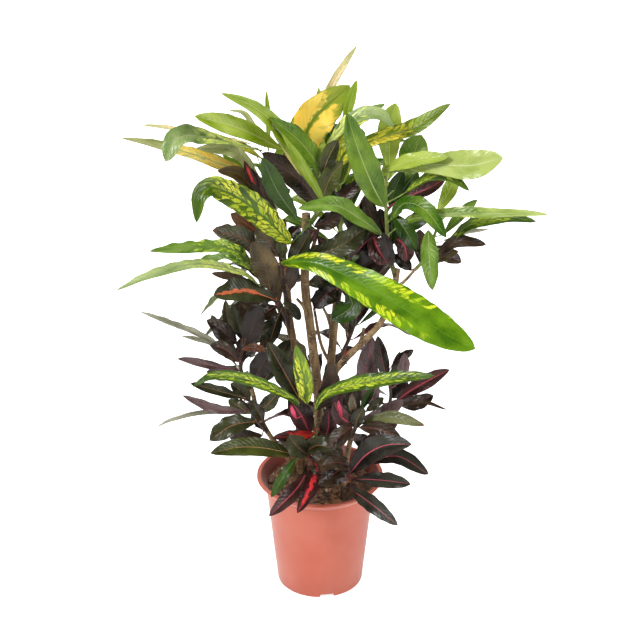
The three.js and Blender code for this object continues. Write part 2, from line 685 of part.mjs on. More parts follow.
function potSolid() {
  const rimOuter = new THREE.QuadraticBezierCurve(
    new THREE.Vector2(wallRadius(pot.height - pot.rimDrop), pot.height - pot.rimDrop),
    new THREE.Vector2(pot.rimRadius - 5, pot.height - 9),
    new THREE.Vector2(pot.rimRadius, pot.height - 2),
  );
  const lip = rimOuter.getPoints(3).map((p) => [p.x, p.y]);
  const inside = pot.floorHeight + pot.floorThickness;
  const foot = wallRadius(0);
  const profile = [
    [0, 0],
    [pot.hubRadius, 0],
    [pot.hubRadius, pot.floorHeight],
    [foot - pot.footWidth, pot.floorHeight],
    [foot - pot.footWidth, 0],
    [foot - 1.2, 0],
    [foot, 1.6],
    ...lip,
    [pot.rimRadius - 0.6, pot.height],
    [pot.rimRadius - pot.rimWidth, pot.height],
    [wallRadius(pot.height - pot.rimDrop) - pot.wall, pot.height - pot.rimDrop],
    [wallRadius(inside + pot.footRounding) - pot.wall, inside + pot.footRounding],
    [wallRadius(inside) - pot.wall - pot.footRounding, inside],
    [0, inside],
  ];
  let solid = solidOf(ring(profile, pot.sides));
  const ribLength = foot - pot.footWidth + 1;
  for (let k = 0; k < pot.ribCount; k += 1) {
    const rib = new THREE.BoxGeometry(ribLength, pot.ribWidth, pot.floorHeight + 1);
    rib.translate(ribLength / 2, 0, (pot.floorHeight + 1) / 2);
    rib.rotateZ(((k + 0.5) * 2 * Math.PI) / pot.ribCount);
    solid = solid.add(solidOf(rib));
    const drain = new THREE.CylinderGeometry(pot.drainRadius, pot.drainRadius, 20, 8);
    drain.rotateX(Math.PI / 2).translate(pot.drainRing, 0, pot.floorHeight);
    drain.rotateZ((k * 2 * Math.PI) / pot.ribCount);
    solid = solid.subtract(solidOf(drain));
  }
  for (let k = 0; k < pot.notchCount; k += 1) {
    const notch = new THREE.BoxGeometry(pot.notchWidth, 2 * pot.footWidth + 8, 2 * pot.notchHeight);
    notch.translate(0, -foot, 0);
    notch.rotateZ(THREE.MathUtils.degToRad(pot.notchTurn) + (k * 2 * Math.PI) / pot.notchCount);
    solid = solid.subtract(solidOf(notch));
  }
  return solid;
}

// Height of the soil's uneven top above its mean.
function soilLump(x, y) {
  return soil.lump * (Math.sin(x * 0.13 + 1) * Math.cos(y * 0.11) + 0.5 * Math.sin(x * 0.31 + y * 0.27));
}

function soilSolid() {
  const inside = pot.floorHeight + pot.floorThickness + gap;
  const edge = wallRadius(soil.top) - pot.wall - gap - 0.2;
  const profile = [[0, inside], [wallRadius(inside) - pot.wall - pot.footRounding - gap, inside]];
  profile.push([wallRadius(inside + pot.footRounding) - pot.wall - gap - 0.4, inside + pot.footRounding]);
  for (let k = 0; k < soil.rings; k += 1) profile.push([edge * (1 - k / soil.rings), soil.top]);
  profile.push([0, soil.top]);
  const geometry = ring(profile, soil.sides);
  const places = geometry.attributes.position;
  for (let i = 0; i < places.count; i += 1) {
    const [x, y, z] = [places.getX(i), places.getY(i), places.getZ(i)];
    const calm = Math.min(1, (edge - Math.hypot(x, y)) / 12);
    if (z > soil.top - 1) places.setZ(i, z + calm * soilLump(x, y));
  }
  return solidOf(geometry);
}

// ---------------------------------------------------------------- the back's leaves

// Leaves by rule: they turn round the core by the golden angle within the shoot's arc, from the
// low and level ones at its foot to the short and steep ones at its top.
function ruledLeaves(line, rule, seed) {
  const draw = makeDraw(seed);
  const leaves = [];
  const core = curveThrough(line);
  for (let i = 0; i < rule.count; i += 1) {
    const share = i / (rule.count - 1);
    const base = core.getPointAt(0.35 + 0.64 * share);
    const spread = (i * 0.618034 + draw(-0.04, 0.04) + 1) % 1;
    const turn = THREE.MathUtils.degToRad(rule.arc[0] + (rule.arc[1] - rule.arc[0]) * spread);
    const rise = THREE.MathUtils.degToRad(rule.rise[0] + (rule.rise[1] - rule.rise[0]) * share + draw(-9, 9));
    const fall = rise - THREE.MathUtils.degToRad(rule.droop * draw(0.7, 1.2));
    const length = draw(rule.length[0], rule.length[1]) * (1 - 0.22 * share);
    const outward = new THREE.Vector3(Math.cos(turn), Math.sin(turn), 0);
    const step = (angle, far) => {
      const level = outward.clone().multiplyScalar(far * Math.cos(angle));
      return level.addScaledVector(up, far * Math.sin(angle));
    };
    const foot = base.clone().add(step(rise, 16));
    const bend = foot.clone().add(step(rise, length * 0.5));
    const tip = bend.clone().add(step(fall, length * 0.5));
    leaves.push({ width: draw(rule.width[0], rule.width[1]), widest: 58, face: up, path: [foot, bend, tip] });
  }
  return leaves;
}

// ---------------------------------------------------------------- assembly

const croton = new THREE.Group();
croton.name = 'potted_croton';

function addPiece(name, solid, look) {
  const mesh = new THREE.Mesh(geometryOf(solid), new THREE.MeshStandardMaterial(paint[look]));
  mesh.name = name;
  croton.add(mesh);
}

addPiece('pot', potSolid(), 'terracotta');

const wood = new Map();
let ground = soilSolid();
for (const stem of stems) {
  const points = rooted(stem.path, buried);
  const twigs = (extra) => stem.branches.map((twig) => stemSolid(twig.path.map(place), twig.radii, 6, extra));
  const solid = joined([stemSolid(points, stem.radii, 8), ...twigs(0)]);
  const cleared = joined([stemSolid(points, stem.radii, 8, gap), ...twigs(gap)]);
  const hole = stemSolid(rooted(stem.path, buried + gap), stem.radii, 8, gap);
  wood.set(stem.name, cleared);
  ground = ground.subtract(hole);
  addPiece(stem.name, solid, 'bark');
}
addPiece('soil', ground, 'soil');

// A shoot's core is cut to sit on its stem, a gap away from the bark, and its leaves join it.
function addShoot(shoot, line, leaves) {
  const core = stemSolid(line, shoot.radii, 5).subtract(wood.get(shoot.on));
  const blades = leaves.map((leaf, i) => solidOf(leafGeometry(line, leaf, 1.7 * i)));
  addPiece(shoot.name, joined([core, ...blades]), shoot.paint);
}

for (const shoot of shoots) {
  const leaves = shoot.leaves.map(([width, tilt, widest, ...path]) => {
    const lean = THREE.MathUtils.degToRad(tilt);
    const face = new THREE.Vector3(0, -Math.sin(lean), Math.cos(lean));
    return { width, widest, face, path: path.map(place) };
  });
  addShoot(shoot, shoot.core.map(place), leaves);
}

backShoots.forEach((shoot, i) => {
  const line = shoot.core.map(place);
  addShoot(shoot, line, ruledLeaves(line, shoot.rule, 101 + i));
});

export default croton;
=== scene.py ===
# A potted croton: the finish of its pot, soil, woody stems and leaves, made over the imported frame.
# Sizes are metres unless a note says otherwise, +Z is up and the viewer stands on the -Y side.

import bisect
import math

import bpy
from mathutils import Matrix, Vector, noise


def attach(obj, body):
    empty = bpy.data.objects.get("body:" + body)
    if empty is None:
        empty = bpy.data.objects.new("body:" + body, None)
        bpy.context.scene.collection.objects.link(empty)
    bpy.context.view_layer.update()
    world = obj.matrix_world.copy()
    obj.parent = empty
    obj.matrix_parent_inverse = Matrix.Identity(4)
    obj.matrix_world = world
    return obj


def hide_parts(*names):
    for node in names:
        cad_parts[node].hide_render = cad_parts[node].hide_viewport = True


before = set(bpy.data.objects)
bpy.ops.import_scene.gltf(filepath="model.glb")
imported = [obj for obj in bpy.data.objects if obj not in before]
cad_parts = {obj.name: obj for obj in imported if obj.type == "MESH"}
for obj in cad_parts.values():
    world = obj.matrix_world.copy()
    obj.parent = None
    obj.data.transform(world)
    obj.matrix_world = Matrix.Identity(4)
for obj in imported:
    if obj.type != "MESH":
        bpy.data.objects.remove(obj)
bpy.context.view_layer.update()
upward = Vector((0, 0, 1))
towardsViewer = Vector((0, -1, 0))
fullTurn = 2 * math.pi
print("frame loaded")


# The traced view: places on the plant are written (across, down, depth), the first two in pixels
# of a 640 pixel picture and the third in mm behind the pot's axis.
view = {
    "distance": 2.2,
    "height": 1.5,
    "pitch": math.radians(24.9),
    "focal": 1538,
    "middle": 320,
    "nearSpread": 1.5,  # draws out the depths in front of the axis
    "sensor": 36,  # mm
    "widen": 0.995,  # the camera takes in a touch more than the traced view
}


def mm(value):
    return value / 1000


def place(spot):
    across, down, depth = spot
    a = (across - view["middle"]) / view["focal"]
    b = (view["middle"] - down) / view["focal"]
    forward = math.cos(view["pitch"]) + math.sin(view["pitch"]) * b
    rise = -math.sin(view["pitch"]) + math.cos(view["pitch"]) * b
    back = mm(depth) * (view["nearSpread"] if depth < 0 else 1)
    reach = (view["distance"] + back) / forward
    return Vector((reach * a, back, view["height"] + reach * rise))


def placesOf(spots):
    return [place(spot) for spot in spots]


# A linear congruential draw, the same on every run.
def makeDraw(seed):
    state = [seed]

    def draw(low, high):
        state[0] = (state[0] * 1664525 + 1013904223) % 2**32
        return low + (high - low) * (state[0] / 2**32)

    return draw


curve = {"steps": 200, "headingStep": 0.0001}


# Walks a smooth curve through the points: gives the place and the heading at a share of its length.
def curveThrough(points):
    ends = [2 * points[0] - points[1], *points, 2 * points[-1] - points[-2]]
    spans = len(points) - 1
    steps = curve["steps"]

    def at(t):
        t = min(max(t, 0), 1) * spans
        i = min(int(t), spans - 1)
        w = t - i
        before, start, end, after = ends[i : i + 4]
        slopeIn = 0.5 * (end - before)
        slopeOut = 0.5 * (after - start)
        spot = (2 * w**3 - 3 * w**2 + 1) * start + (w**3 - 2 * w**2 + w) * slopeIn
        return spot + (3 * w**2 - 2 * w**3) * end + (w**3 - w**2) * slopeOut

    spots = [at(k / steps) for k in range(steps + 1)]
    lengths = [0]
    for k in range(steps):
        lengths.append(lengths[-1] + (spots[k + 1] - spots[k]).length)

    def walk(share):
        goal = min(max(share, 0), 1) * lengths[-1]
        k = bisect.bisect_left(lengths, goal, 1, steps)
        t = (k - 1 + (goal - lengths[k - 1]) / (lengths[k] - lengths[k - 1])) / steps
        heading = (at(t + curve["headingStep"]) - at(t - curve["headingStep"])).normalized()
        return at(t), heading

    return walk, lengths[-1]


def deselect():
    bpy.ops.object.select_all(action="DESELECT")


def pick(*objects):
    deselect()
    for thing in objects:
        thing.select_set(True)
    bpy.context.view_layer.objects.active = objects[0]


# Leaves the piece in edit mode with one face selected and nothing else.
def openAtFace(piece, index):
    pick(piece)
    bpy.ops.object.mode_set(mode="EDIT")
    bpy.ops.mesh.select_mode(type="FACE")
    bpy.ops.mesh.select_all(action="DESELECT")
    bpy.ops.object.mode_set(mode="OBJECT")
    piece.data.polygons[index].select = True
    bpy.ops.object.mode_set(mode="EDIT")


def closeEdit():
    bpy.ops.mesh.select_mode(type="VERT")
    bpy.ops.object.mode_set(mode="OBJECT")


def pointFacesOut():
    bpy.ops.mesh.select_all(action="SELECT")
    bpy.ops.mesh.normals_make_consistent(inside=False)


def joinAll(objects, name):
    pick(*objects)
    if len(objects) > 1:
        bpy.ops.object.join()
    piece = bpy.context.object
    piece.name = name
    piece.data.name = name
    return piece


def copyOf(template):
    twin = template.copy()
    twin.data = template.data.copy()
    bpy.context.scene.collection.objects.link(twin)
    return twin


def applyModifier(piece, kind, **settings):
    pick(piece)
    modifier = piece.modifiers.new(kind.lower(), kind)
    for setting, value in settings.items():
        setattr(modifier, setting, value)
    bpy.ops.object.modifier_apply(modifier=modifier.name)


def dress(piece, material):
    piece.data.materials.clear()
    piece.data.materials.append(bpy.data.materials[material])


def finishPiece(piece, slot, node, angle):
    pick(piece)
    bpy.ops.object.shade_smooth_by_angle(angle=math.radians(angle))
    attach(piece, "root")
    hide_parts(node)
    deselect()


# An sRGB code as Blender's linear colour.
def tint(hexCode):
    parts = [int(hexCode[i : i + 2], 16) / 255 for i in (0, 2, 4)]
    linear = [part / 12.92 if part < 0.04045 else ((part + 0.055) / 1.055) ** 2.4 for part in parts]
    return (*linear, 1)


def feed(tree, node, feeds):
    for socket, value in feeds.items():
        if isinstance(value, bpy.types.NodeSocket):
            tree.links.new(value, node.inputs[socket])
        else:
            node.inputs[socket].default_value = value
    return node


def addNode(tree, kind, feeds, **settings):
    node = tree.nodes.new("ShaderNode" + kind)
    for setting, value in settings.items():
        setattr(node, setting, value)
    return feed(tree, node, feeds)


def calc(tree, operation, *values, clamp=False):
    feeds = dict(enumerate(values))
    return addNode(tree, "Math", feeds, operation=operation, use_clamp=clamp).outputs[0]


def fade(tree, value, low, high, start=0, end=1):
    feeds = {"Value": value, "From Min": low, "From Max": high, "To Min": start, "To Max": end}
    return addNode(tree, "MapRange", feeds, interpolation_type="SMOOTHSTEP").outputs[0]


def mixColor(tree, share, first, second):
    feeds = {0: share, 6: first, 7: second}
    return addNode(tree, "Mix", feeds, data_type="RGBA", blend_type="MIX").outputs[2]


def newMaterial(name):
    material = bpy.data.materials.new(name)
    material.use_nodes = True
    tree = material.node_tree
    tree.nodes.clear()
    output = tree.nodes.new("ShaderNodeOutputMaterial")
    shader = tree.nodes.new("ShaderNodeBsdfPrincipled")
    tree.links.new(shader.outputs["BSDF"], output.inputs["Surface"])
    return tree, shader


# Bump is written (height, strength, depth).
def coat(tree, shader, bump, feeds):
    height, strength, depth = bump
    raised = addNode(tree, "Bump", {"Height": height, "Strength": strength, "Distance": depth})
    feed(tree, shader, feeds | {"Normal": raised.outputs[0]})


def newGroup(name, inputs, outputs):
    group = bpy.data.node_groups.new(name, "ShaderNodeTree")
    for way, sockets in (("INPUT", inputs), ("OUTPUT", outputs)):
        for label, kind in sockets.items():
            group.interface.new_socket(name=label, in_out=way, socket_type="NodeSocket" + kind)
    start = group.nodes.new("NodeGroupInput")
    end = group.nodes.new("NodeGroupOutput")
    return group, start.outputs, end.inputs


def useGroup(tree, group, feeds):
    return addNode(tree, "Group", feeds, node_tree=group).outputs


# Grain for anything solid: fine and coarse noise in metres of the object, drawn out by Stretch.
def buildGrain():
    inputs = {"Fine": "Float", "Coarse": "Float", "Stretch": "Vector"}
    group, start, end = newGroup("solidGrain", inputs, {"Fine": "Float", "Coarse": "Float"})
    coords = group.nodes.new("ShaderNodeTexCoord").outputs["Object"]
    stretched = {0: coords, 1: start["Stretch"]}
    drawn = addNode(group, "VectorMath", stretched, operation="MULTIPLY").outputs[0]
    for label in ("Fine", "Coarse"):
        feeds = {"Vector": drawn, "Scale": start[label], "Detail": 4.0, "Roughness": 0.55}
        group.links.new(addNode(group, "TexNoise", feeds).outputs[0], end[label])
    return group


solidGrain = buildGrain()


def grainOf(tree, fine, coarse, stretch=(1, 1, 1)):
    return useGroup(tree, solidGrain, {"Fine": fine, "Coarse": coarse, "Stretch": stretch})


# How far a coarse grain has gone from its dark to its light patches.
def patchy(tree, grain):
    return fade(tree, grain, 0.3, 0.7)


def setCamera():
    data = bpy.data.cameras.new("camera")
    data.sensor_width = view["sensor"]
    data.lens = view["widen"] * view["sensor"] * view["focal"] / (2 * view["middle"])
    camera = bpy.data.objects.new("camera", data)
    camera.location = (0, -view["distance"], view["height"])
    camera.rotation_euler = (math.pi / 2 - view["pitch"], 0, 0)
    bpy.context.scene.collection.objects.link(camera)
    bpy.context.scene.camera = camera


setCamera()
print("camera set")


# The pot is moulded plastic, drawn up ring by ring from its hub.
pot = {
    "height": 0.198,
    "rimRadius": 0.105,
    "rimWidth": 0.008,
    "rimDrop": 0.016,
    "neckRadius": 0.09,
    "footRadius": 0.072,
    "wall": 0.0026,
    "wallRings": (0.06, 0.12),
    "flareBend": (-0.005, -0.009),  # from the rim's outer edge: out and up
    "flareEnd": -0.002,
    "flareSteps": 8,
    "floorHeight": 0.007,
    "floorThickness": 0.003,
    "floorDisc": 0.02,
    "footWidth": 0.004,
    "footRounding": 0.005,
    "footCurve": ((0.4, 0.3), (1, 0)),  # shares of the rounding: in and up
    # These round an edge: steps out and up from its corner.
    "ringEdge": ((0, 0.0004), (0.0004, 0)),
    "footEdge": ((-0.0012, 0), (-0.0004, 0.0005), (0, 0.0016)),
    "rimEdge": ((-0.0002, -0.0008), (-0.0009, 0)),
    "innerEdge": ((0.0006, 0), (-0.0004, -0.0007)),
    "neckEdge": ((0.002, 0.004), (0, -0.002)),
    "bevel": 0.0003,
    "bevelFrom": math.radians(50),
    "hubRadius": 0.012,
    "ribWidth": 0.0024,
    "ribCount": 4,
    "ribOverlap": 0.001,
    "ribLift": 0.0002,
    "notchSize": (0.024, 0.016, 0.012),  # a box centred on the foot's lower edge
    "notchRounding": 0.003,
    "notchCount": 3,
    "notchTurn": math.radians(9.5),
    "drainRadius": 0.0045,
    "drainRing": 0.048,
    "drainDepth": 0.02,
    "drainSides": 28,
    "sides": 120,
    "color": tint("c65e44"),
    "paleColor": tint("cb6a52"),
    # The colour of the painted shade inside the rim, where the leaves above shade the pot.
    "paintedShadeColor": tint("94493c"),
    "grain": (900, 14),
    "bump": (0.06, 0.0003),
    "rough": 0.3,
    "roughVary": 0.16,
    "specular": 0.6,
    "sheen": 0.34,
    "sheenRough": 0.4,
    "dust": tint("8d5b47"),
    "dustGrain": (240, 60),
    "dustHeight": 0.02,
    "dustMost": 0.35,
    "rimSlope": -0.59,  # the rim's inside narrows by this much with each step down
    "rimInside": (0.0903, 0.0885),  # its radius at the neck, from plain to fully shaded
    "rimShadeFrom": (-0.0015, 0.0005),
}


def wallRadius(z):
    spread = pot["neckRadius"] - pot["footRadius"]
    return pot["footRadius"] + spread * z / (pot["height"] - pot["rimDrop"])


# A round closed solid: the profile's (radius, height) points in turn, from disc to disc.
def drawUp(profile, sides):
    deselect()
    radius, z = profile[0]
    bpy.ops.mesh.primitive_circle_add(
        vertices=sides, radius=radius, fill_type="NGON", location=(0, 0, z)
    )
    piece = bpy.context.object
    bpy.ops.object.transform_apply(location=True)
    bpy.ops.object.mode_set(mode="EDIT")
    for newRadius, newZ in profile[1:]:
        bpy.ops.mesh.extrude_region_move(TRANSFORM_OT_translate={"value": (0, 0, newZ - z)})
        share = newRadius / radius
        bpy.ops.transform.resize(value=(share, share, 1), center_override=(0, 0, newZ))
        radius, z = newRadius, newZ
    pointFacesOut()
    bpy.ops.object.mode_set(mode="OBJECT")
    return piece


def cutOrAdd(piece, tool, operation):
    applyModifier(piece, "BOOLEAN", operation=operation, object=tool, solver="EXACT")
    bpy.data.objects.remove(tool)


def addBox(size, location, turn):
    deselect()
    bpy.ops.mesh.primitive_cube_add(size=1, location=location)
    box = bpy.context.object
    box.scale = size
    bpy.ops.object.transform_apply(location=True, scale=True)
    box.rotation_euler = (0, 0, turn)
    bpy.ops.object.transform_apply(rotation=True)
    return box


def potProfile(inner, foot):
    rimRadius, top, wall = pot["rimRadius"], pot["height"], pot["wall"]
    neck = top - pot["rimDrop"]
    inside = pot["floorHeight"] + pot["floorThickness"]
    rounding = pot["footRounding"]

    def around(radius, z, steps):
        return [(radius + out, z + up) for out, up in steps]

    bend = around(rimRadius, top, [pot["flareBend"]])[0]
    lip = (rimRadius, top + pot["flareEnd"])
    flare = []
    for k in range(pot["flareSteps"] + 1):
        t = k / pot["flareSteps"]
        shares = ((1 - t) ** 2, 2 * t * (1 - t), t**2)
        points = ((wallRadius(neck), neck), bend, lip)
        flare.append(tuple(sum(s * point[i] for s, point in zip(shares, points)) for i in (0, 1)))
    floorEdge = wallRadius(inside) - wall
    return [
        (pot["hubRadius"], 0),
        (pot["hubRadius"], pot["floorHeight"]),
        (inner, pot["floorHeight"]),
        *around(inner, 0, pot["ringEdge"]),
        *around(foot, 0, pot["footEdge"]),
        *[(wallRadius(z), z) for z in pot["wallRings"]],
        *flare,
        *around(rimRadius, top, pot["rimEdge"]),
        *around(rimRadius - pot["rimWidth"], top, pot["innerEdge"]),
        *around(wallRadius(neck) - wall, neck, pot["neckEdge"]),
        (wallRadius(inside + rounding) - wall, inside + rounding),
        *[(floorEdge - rounding * into, inside + rounding * up) for into, up in pot["footCurve"]],
        (pot["floorDisc"], inside),
    ]


def modelPot():
    foot = wallRadius(0)
    inner = foot - pot["footWidth"]
    piece = drawUp(potProfile(inner, foot), pot["sides"])
    reach = inner + pot["ribOverlap"]
    for k in range(pot["ribCount"]):
        size = (reach, pot["ribWidth"], pot["floorHeight"] + pot["ribOverlap"])
        turn = (k + 0.5) * fullTurn / pot["ribCount"]
        cutOrAdd(piece, addBox(size, (reach / 2, 0, size[2] / 2 + pot["ribLift"]), turn), "UNION")
        turn = k * fullTurn / pot["ribCount"]
        x, y = pot["drainRing"] * math.cos(turn), pot["drainRing"] * math.sin(turn)
        deselect()
        bpy.ops.mesh.primitive_cylinder_add(
            vertices=pot["drainSides"],
            radius=pot["drainRadius"],
            depth=pot["drainDepth"],
            location=(x, y, pot["floorHeight"]),
        )
        cutOrAdd(piece, bpy.context.object, "DIFFERENCE")
    for k in range(pot["notchCount"]):
        turn = pot["notchTurn"] + k * fullTurn / pot["notchCount"]
        notch = addBox(pot["notchSize"], (0, -foot, 0), turn)
        applyModifier(notch, "BEVEL", width=pot["notchRounding"], segments=4, limit_method="ANGLE")
        cutOrAdd(piece, notch, "DIFFERENCE")
    limits = {"limit_method": "ANGLE", "angle_limit": pot["bevelFrom"]}
    applyModifier(piece, "BEVEL", width=pot["bevel"], segments=2, **limits)
    piece.name = "pot_moulded"
    return piece


# Satin plastic, a little cloudy, with painted shade inside the rim and some soil dust at the foot.
def potMaterial():
    tree, shader = newMaterial("terracottaPlastic")
    grain = grainOf(tree, *pot["grain"])
    body = mixColor(tree, patchy(tree, grain["Coarse"]), pot["color"], pot["paleColor"])
    coords = tree.nodes.new("ShaderNodeTexCoord").outputs["Object"]
    z = addNode(tree, "SeparateXYZ", {0: coords}).outputs["Z"]
    level = addNode(tree, "VectorMath", {0: coords, 1: (1, 1, 0)}, operation="MULTIPLY").outputs[0]
    away = addNode(tree, "VectorMath", {0: level}, operation="LENGTH").outputs["Value"]
    # Painted shade: the inside of the rim, below its top edge, is darkened as if the leaves above
    # shaded it.
    above = calc(tree, "SUBTRACT", z, pot["height"] - pot["rimDrop"])
    atNeck = calc(tree, "MULTIPLY_ADD", above, pot["rimSlope"], away)
    paintedRimShade = fade(tree, atNeck, *pot["rimInside"])
    paintedRimShade = calc(tree, "MULTIPLY", paintedRimShade, fade(tree, above, *pot["rimShadeFrom"]))
    body = mixColor(tree, paintedRimShade, body, pot["paintedShadeColor"])
    low = fade(tree, z, pot["dustHeight"], 0, 0, pot["dustMost"])
    specks = fade(tree, grainOf(tree, *pot["dustGrain"])["Coarse"], 0.5, 0.8)
    dusty = mixColor(tree, calc(tree, "MULTIPLY", low, specks), body, pot["dust"])
    coat(tree, shader, (grain["Fine"], *pot["bump"]), {
        "Base Color": dusty,
        "Roughness": calc(tree, "MULTIPLY_ADD", grain["Coarse"], pot["roughVary"], pot["rough"]),
        "Specular IOR Level": pot["specular"],
        "Sheen Weight": pot["sheen"],
        "Sheen Roughness": pot["sheenRough"],
    })


potMaterial()
potPiece = modelPot()
dress(potPiece, "terracottaPlastic")
finishPiece(potPiece, "terracotta", "pot", 35)
print("pot moulded")


# The soil is damp peat with crumbs, chips and a few pale grains.
soil = {
    "top": 0.181,
    "gap": 0.0003,
    "topSlack": 0.0002,
    "sideSlack": 0.0004,
    "sides": 96,
    "rings": 34,
    "topZone": 0.001,  # vertices this close to the top, or above it, are raised or sunk
    "calmEdge": 0.012,  # the unevenness fades out over this width at the wall
    "lump": 0.0022,
    "crumb": 0.0016,
    "crumbNoise": ((240, 3, 1), (620, 9, 0.6)),  # scale, layer and share
    "crumbCount": 420,
    "crumbSize": (0.0012, 0.0042),
    "crumbClear": 0.004,  # crumbs keep this far from the wall
    "crumbStretch": ((0.7, 1.4), (0.7, 1.4), (0.45, 0.9)),
    "crumbRough": 0.35,
    "clodSize": (0.0085, 0.006, 0.0045, 0.005),
    "clods": ((338, 497, -48), (327, 500, -50), (318, 497, -49), (349, 500, -46)),
    "crumbLift": 0.2,  # how far a crumb's middle lies above the bed, in shares of its size
    "clodLift": 0.4,
    "shades": (0.15, 1),  # of the crumbs; the bed's is 0
    "grain": (700, 120),
    "bump": (0.6, 0.0012),
    "rough": 0.9,
    "peat": (tint("34231a"), tint("88664c")),
    "chip": tint("a87a54"),
    "grit": tint("b9a58c"),
    "fleck": tint("96785c"),
    "seed": 5,
}


# Height of the soil's uneven top: long waves with crumbly noise on them.
def soilTop(x, y, edge):
    calm = min(1, (edge - math.hypot(x, y)) / soil["calmEdge"])
    a, b = x * 1000, y * 1000
    wave = math.sin(a * 0.13 + 1) * math.cos(b * 0.11) + 0.5 * math.sin(a * 0.31 + b * 0.27)
    fine = sum(
        share * noise.noise(Vector((x * scale, y * scale, layer)))
        for scale, layer, share in soil["crumbNoise"]
    )
    return soil["top"] + calm * (soil["lump"] * wave + soil["crumb"] * fine)


def modelSoil():
    bottom = pot["floorHeight"] + pot["floorThickness"] + soil["gap"]
    bend = bottom + pot["footRounding"]
    edge = wallRadius(soil["top"]) - pot["wall"] - soil["gap"] - soil["topSlack"]
    footEdge = wallRadius(bottom) - pot["wall"] - pot["footRounding"] - soil["gap"]
    side = wallRadius(bend) - pot["wall"] - soil["gap"] - soil["sideSlack"]
    piece = drawUp([(footEdge, bottom), (side, bend), (edge, soil["top"])], soil["sides"])
    openAtFace(piece, max(piece.data.polygons, key=lambda face: face.center.z).index)
    for ringNumber in range(soil["rings"]):
        bpy.ops.mesh.inset(thickness=edge / (soil["rings"] + 1))
    bpy.ops.mesh.poke()
    closeEdit()
    for vertex in piece.data.vertices:
        if vertex.co.z > soil["top"] - soil["topZone"]:
            vertex.co.z = soilTop(vertex.co.x, vertex.co.y, edge)
    return piece, edge


# Where the crumbs lie and how large they are: many small ones at random, then the clods.
def scatterCrumbs(edge, draw):
    spots = []
    smallest, largest = soil["crumbSize"]
    for k in range(soil["crumbCount"]):
        turn = draw(0, fullTurn)
        out = (edge - soil["crumbClear"]) * math.sqrt(draw(0, 1))
        x, y = out * math.cos(turn), out * math.sin(turn)
        size = smallest + (largest - smallest) * draw(0, 1) ** 3
        spots.append((Vector((x, y, soilTop(x, y, edge) + soil["crumbLift"] * size)), size))
    for centre, size in zip(placesOf(soil["clods"]), soil["clodSize"]):
        centre.z = soilTop(centre.x, centre.y, edge) + soil["clodLift"] * size
        spots.append((centre, size))
    return spots


# One crumb is modelled; each copy is turned, sized and roughened again.
def modelCrumbs(edge):
    deselect()
    bpy.ops.mesh.primitive_ico_sphere_add(subdivisions=1, radius=1)
    template = bpy.context.object
    draw = makeDraw(soil["seed"])
    crumbs = []
    for k, (centre, size) in enumerate(scatterCrumbs(edge, draw)):
        crumb = copyOf(template)
        stretch = Vector([draw(*limits) for limits in soil["crumbStretch"]])
        turn = draw(0, math.pi)
        cos, sin = math.cos(turn), math.sin(turn)
        shade = draw(*soil["shades"])
        for vertex in crumb.data.vertices:
            dents = noise.noise(vertex.co * 2.3 + Vector((k * 1.7, 0, 0)))
            x, y, z = vertex.co * (1 + soil["crumbRough"] * dents)
            x, y, z = x * stretch.x, y * stretch.y, z * stretch.z
            vertex.co = centre + size * Vector((x * cos - y * sin, x * sin + y * cos, z))
        grain = crumb.data.attributes.new("grainShade", "FLOAT", "POINT")
        for value in grain.data:
            value.value = shade
        crumbs.append(crumb)
    bpy.data.objects.remove(template)
    return crumbs


def soilMaterial():
    tree, shader = newMaterial("dampSoil")
    grain = grainOf(tree, *soil["grain"])
    shade = addNode(tree, "Attribute", {}, attribute_name="grainShade").outputs["Fac"]
    color = mixColor(tree, patchy(tree, grain["Coarse"]), *soil["peat"])
    color = mixColor(tree, fade(tree, shade, 0.45, 0.9), color, soil["chip"])
    color = mixColor(tree, fade(tree, shade, 0.965, 0.98), color, soil["grit"])
    color = mixColor(tree, fade(tree, grain["Fine"], 0.66, 0.72, 0, 0.6), color, soil["fleck"])
    bump = (grain["Fine"], *soil["bump"])
    coat(tree, shader, bump, {"Base Color": color, "Roughness": soil["rough"]})


soilMaterial()
soilPiece, soilEdge = modelSoil()
soilPiece = joinAll([soilPiece, *modelCrumbs(soilEdge)], "soil_bed")
dress(soilPiece, "dampSoil")
finishPiece(soilPiece, "soil", "soil", 60)
print("soil laid")


# The woody stems are ringed by old leaf scars, and their ends are sawn.
bark = {
    "buried": 0.07,  # length that stands in the soil
    "ringEvery": 0.006,
    "fewestRings": 4,
    "scarEvery": 0.017,
    "scarHeight": 0.05,  # share of the radius
    "scarNarrow": 6,
    "scarStray": 0.8,
    "scarPace": 25,  # noise per metre
    "knots": 0.07,
    "knotPace": 60,
    "knotScale": 1.3,
    "seedStep": 9,
    "sides": 18,
    "twigSides": 12,
    "cutRim": 0.0009,
    "cutDepth": -0.0004,
    "streaks": (900, 90, (1, 1, 0.18)),
    "bands": (260, 45, (0.35, 0.35, 1.6)),
    "bandShare": 1.4,
    "bump": (0.5, 0.0009),
    "roughVary": 0.2,
    "specular": 0.3,
    "pore": tint("33231a"),
    "sawn": (tint("8d7a62"), tint("5d4a3a")),
    "sawnGrain": (1400, 300, (1, 1, 0.2)),
    "sawnBump": (0.4, 0.0006),
    "sawnRough": 0.85,
}

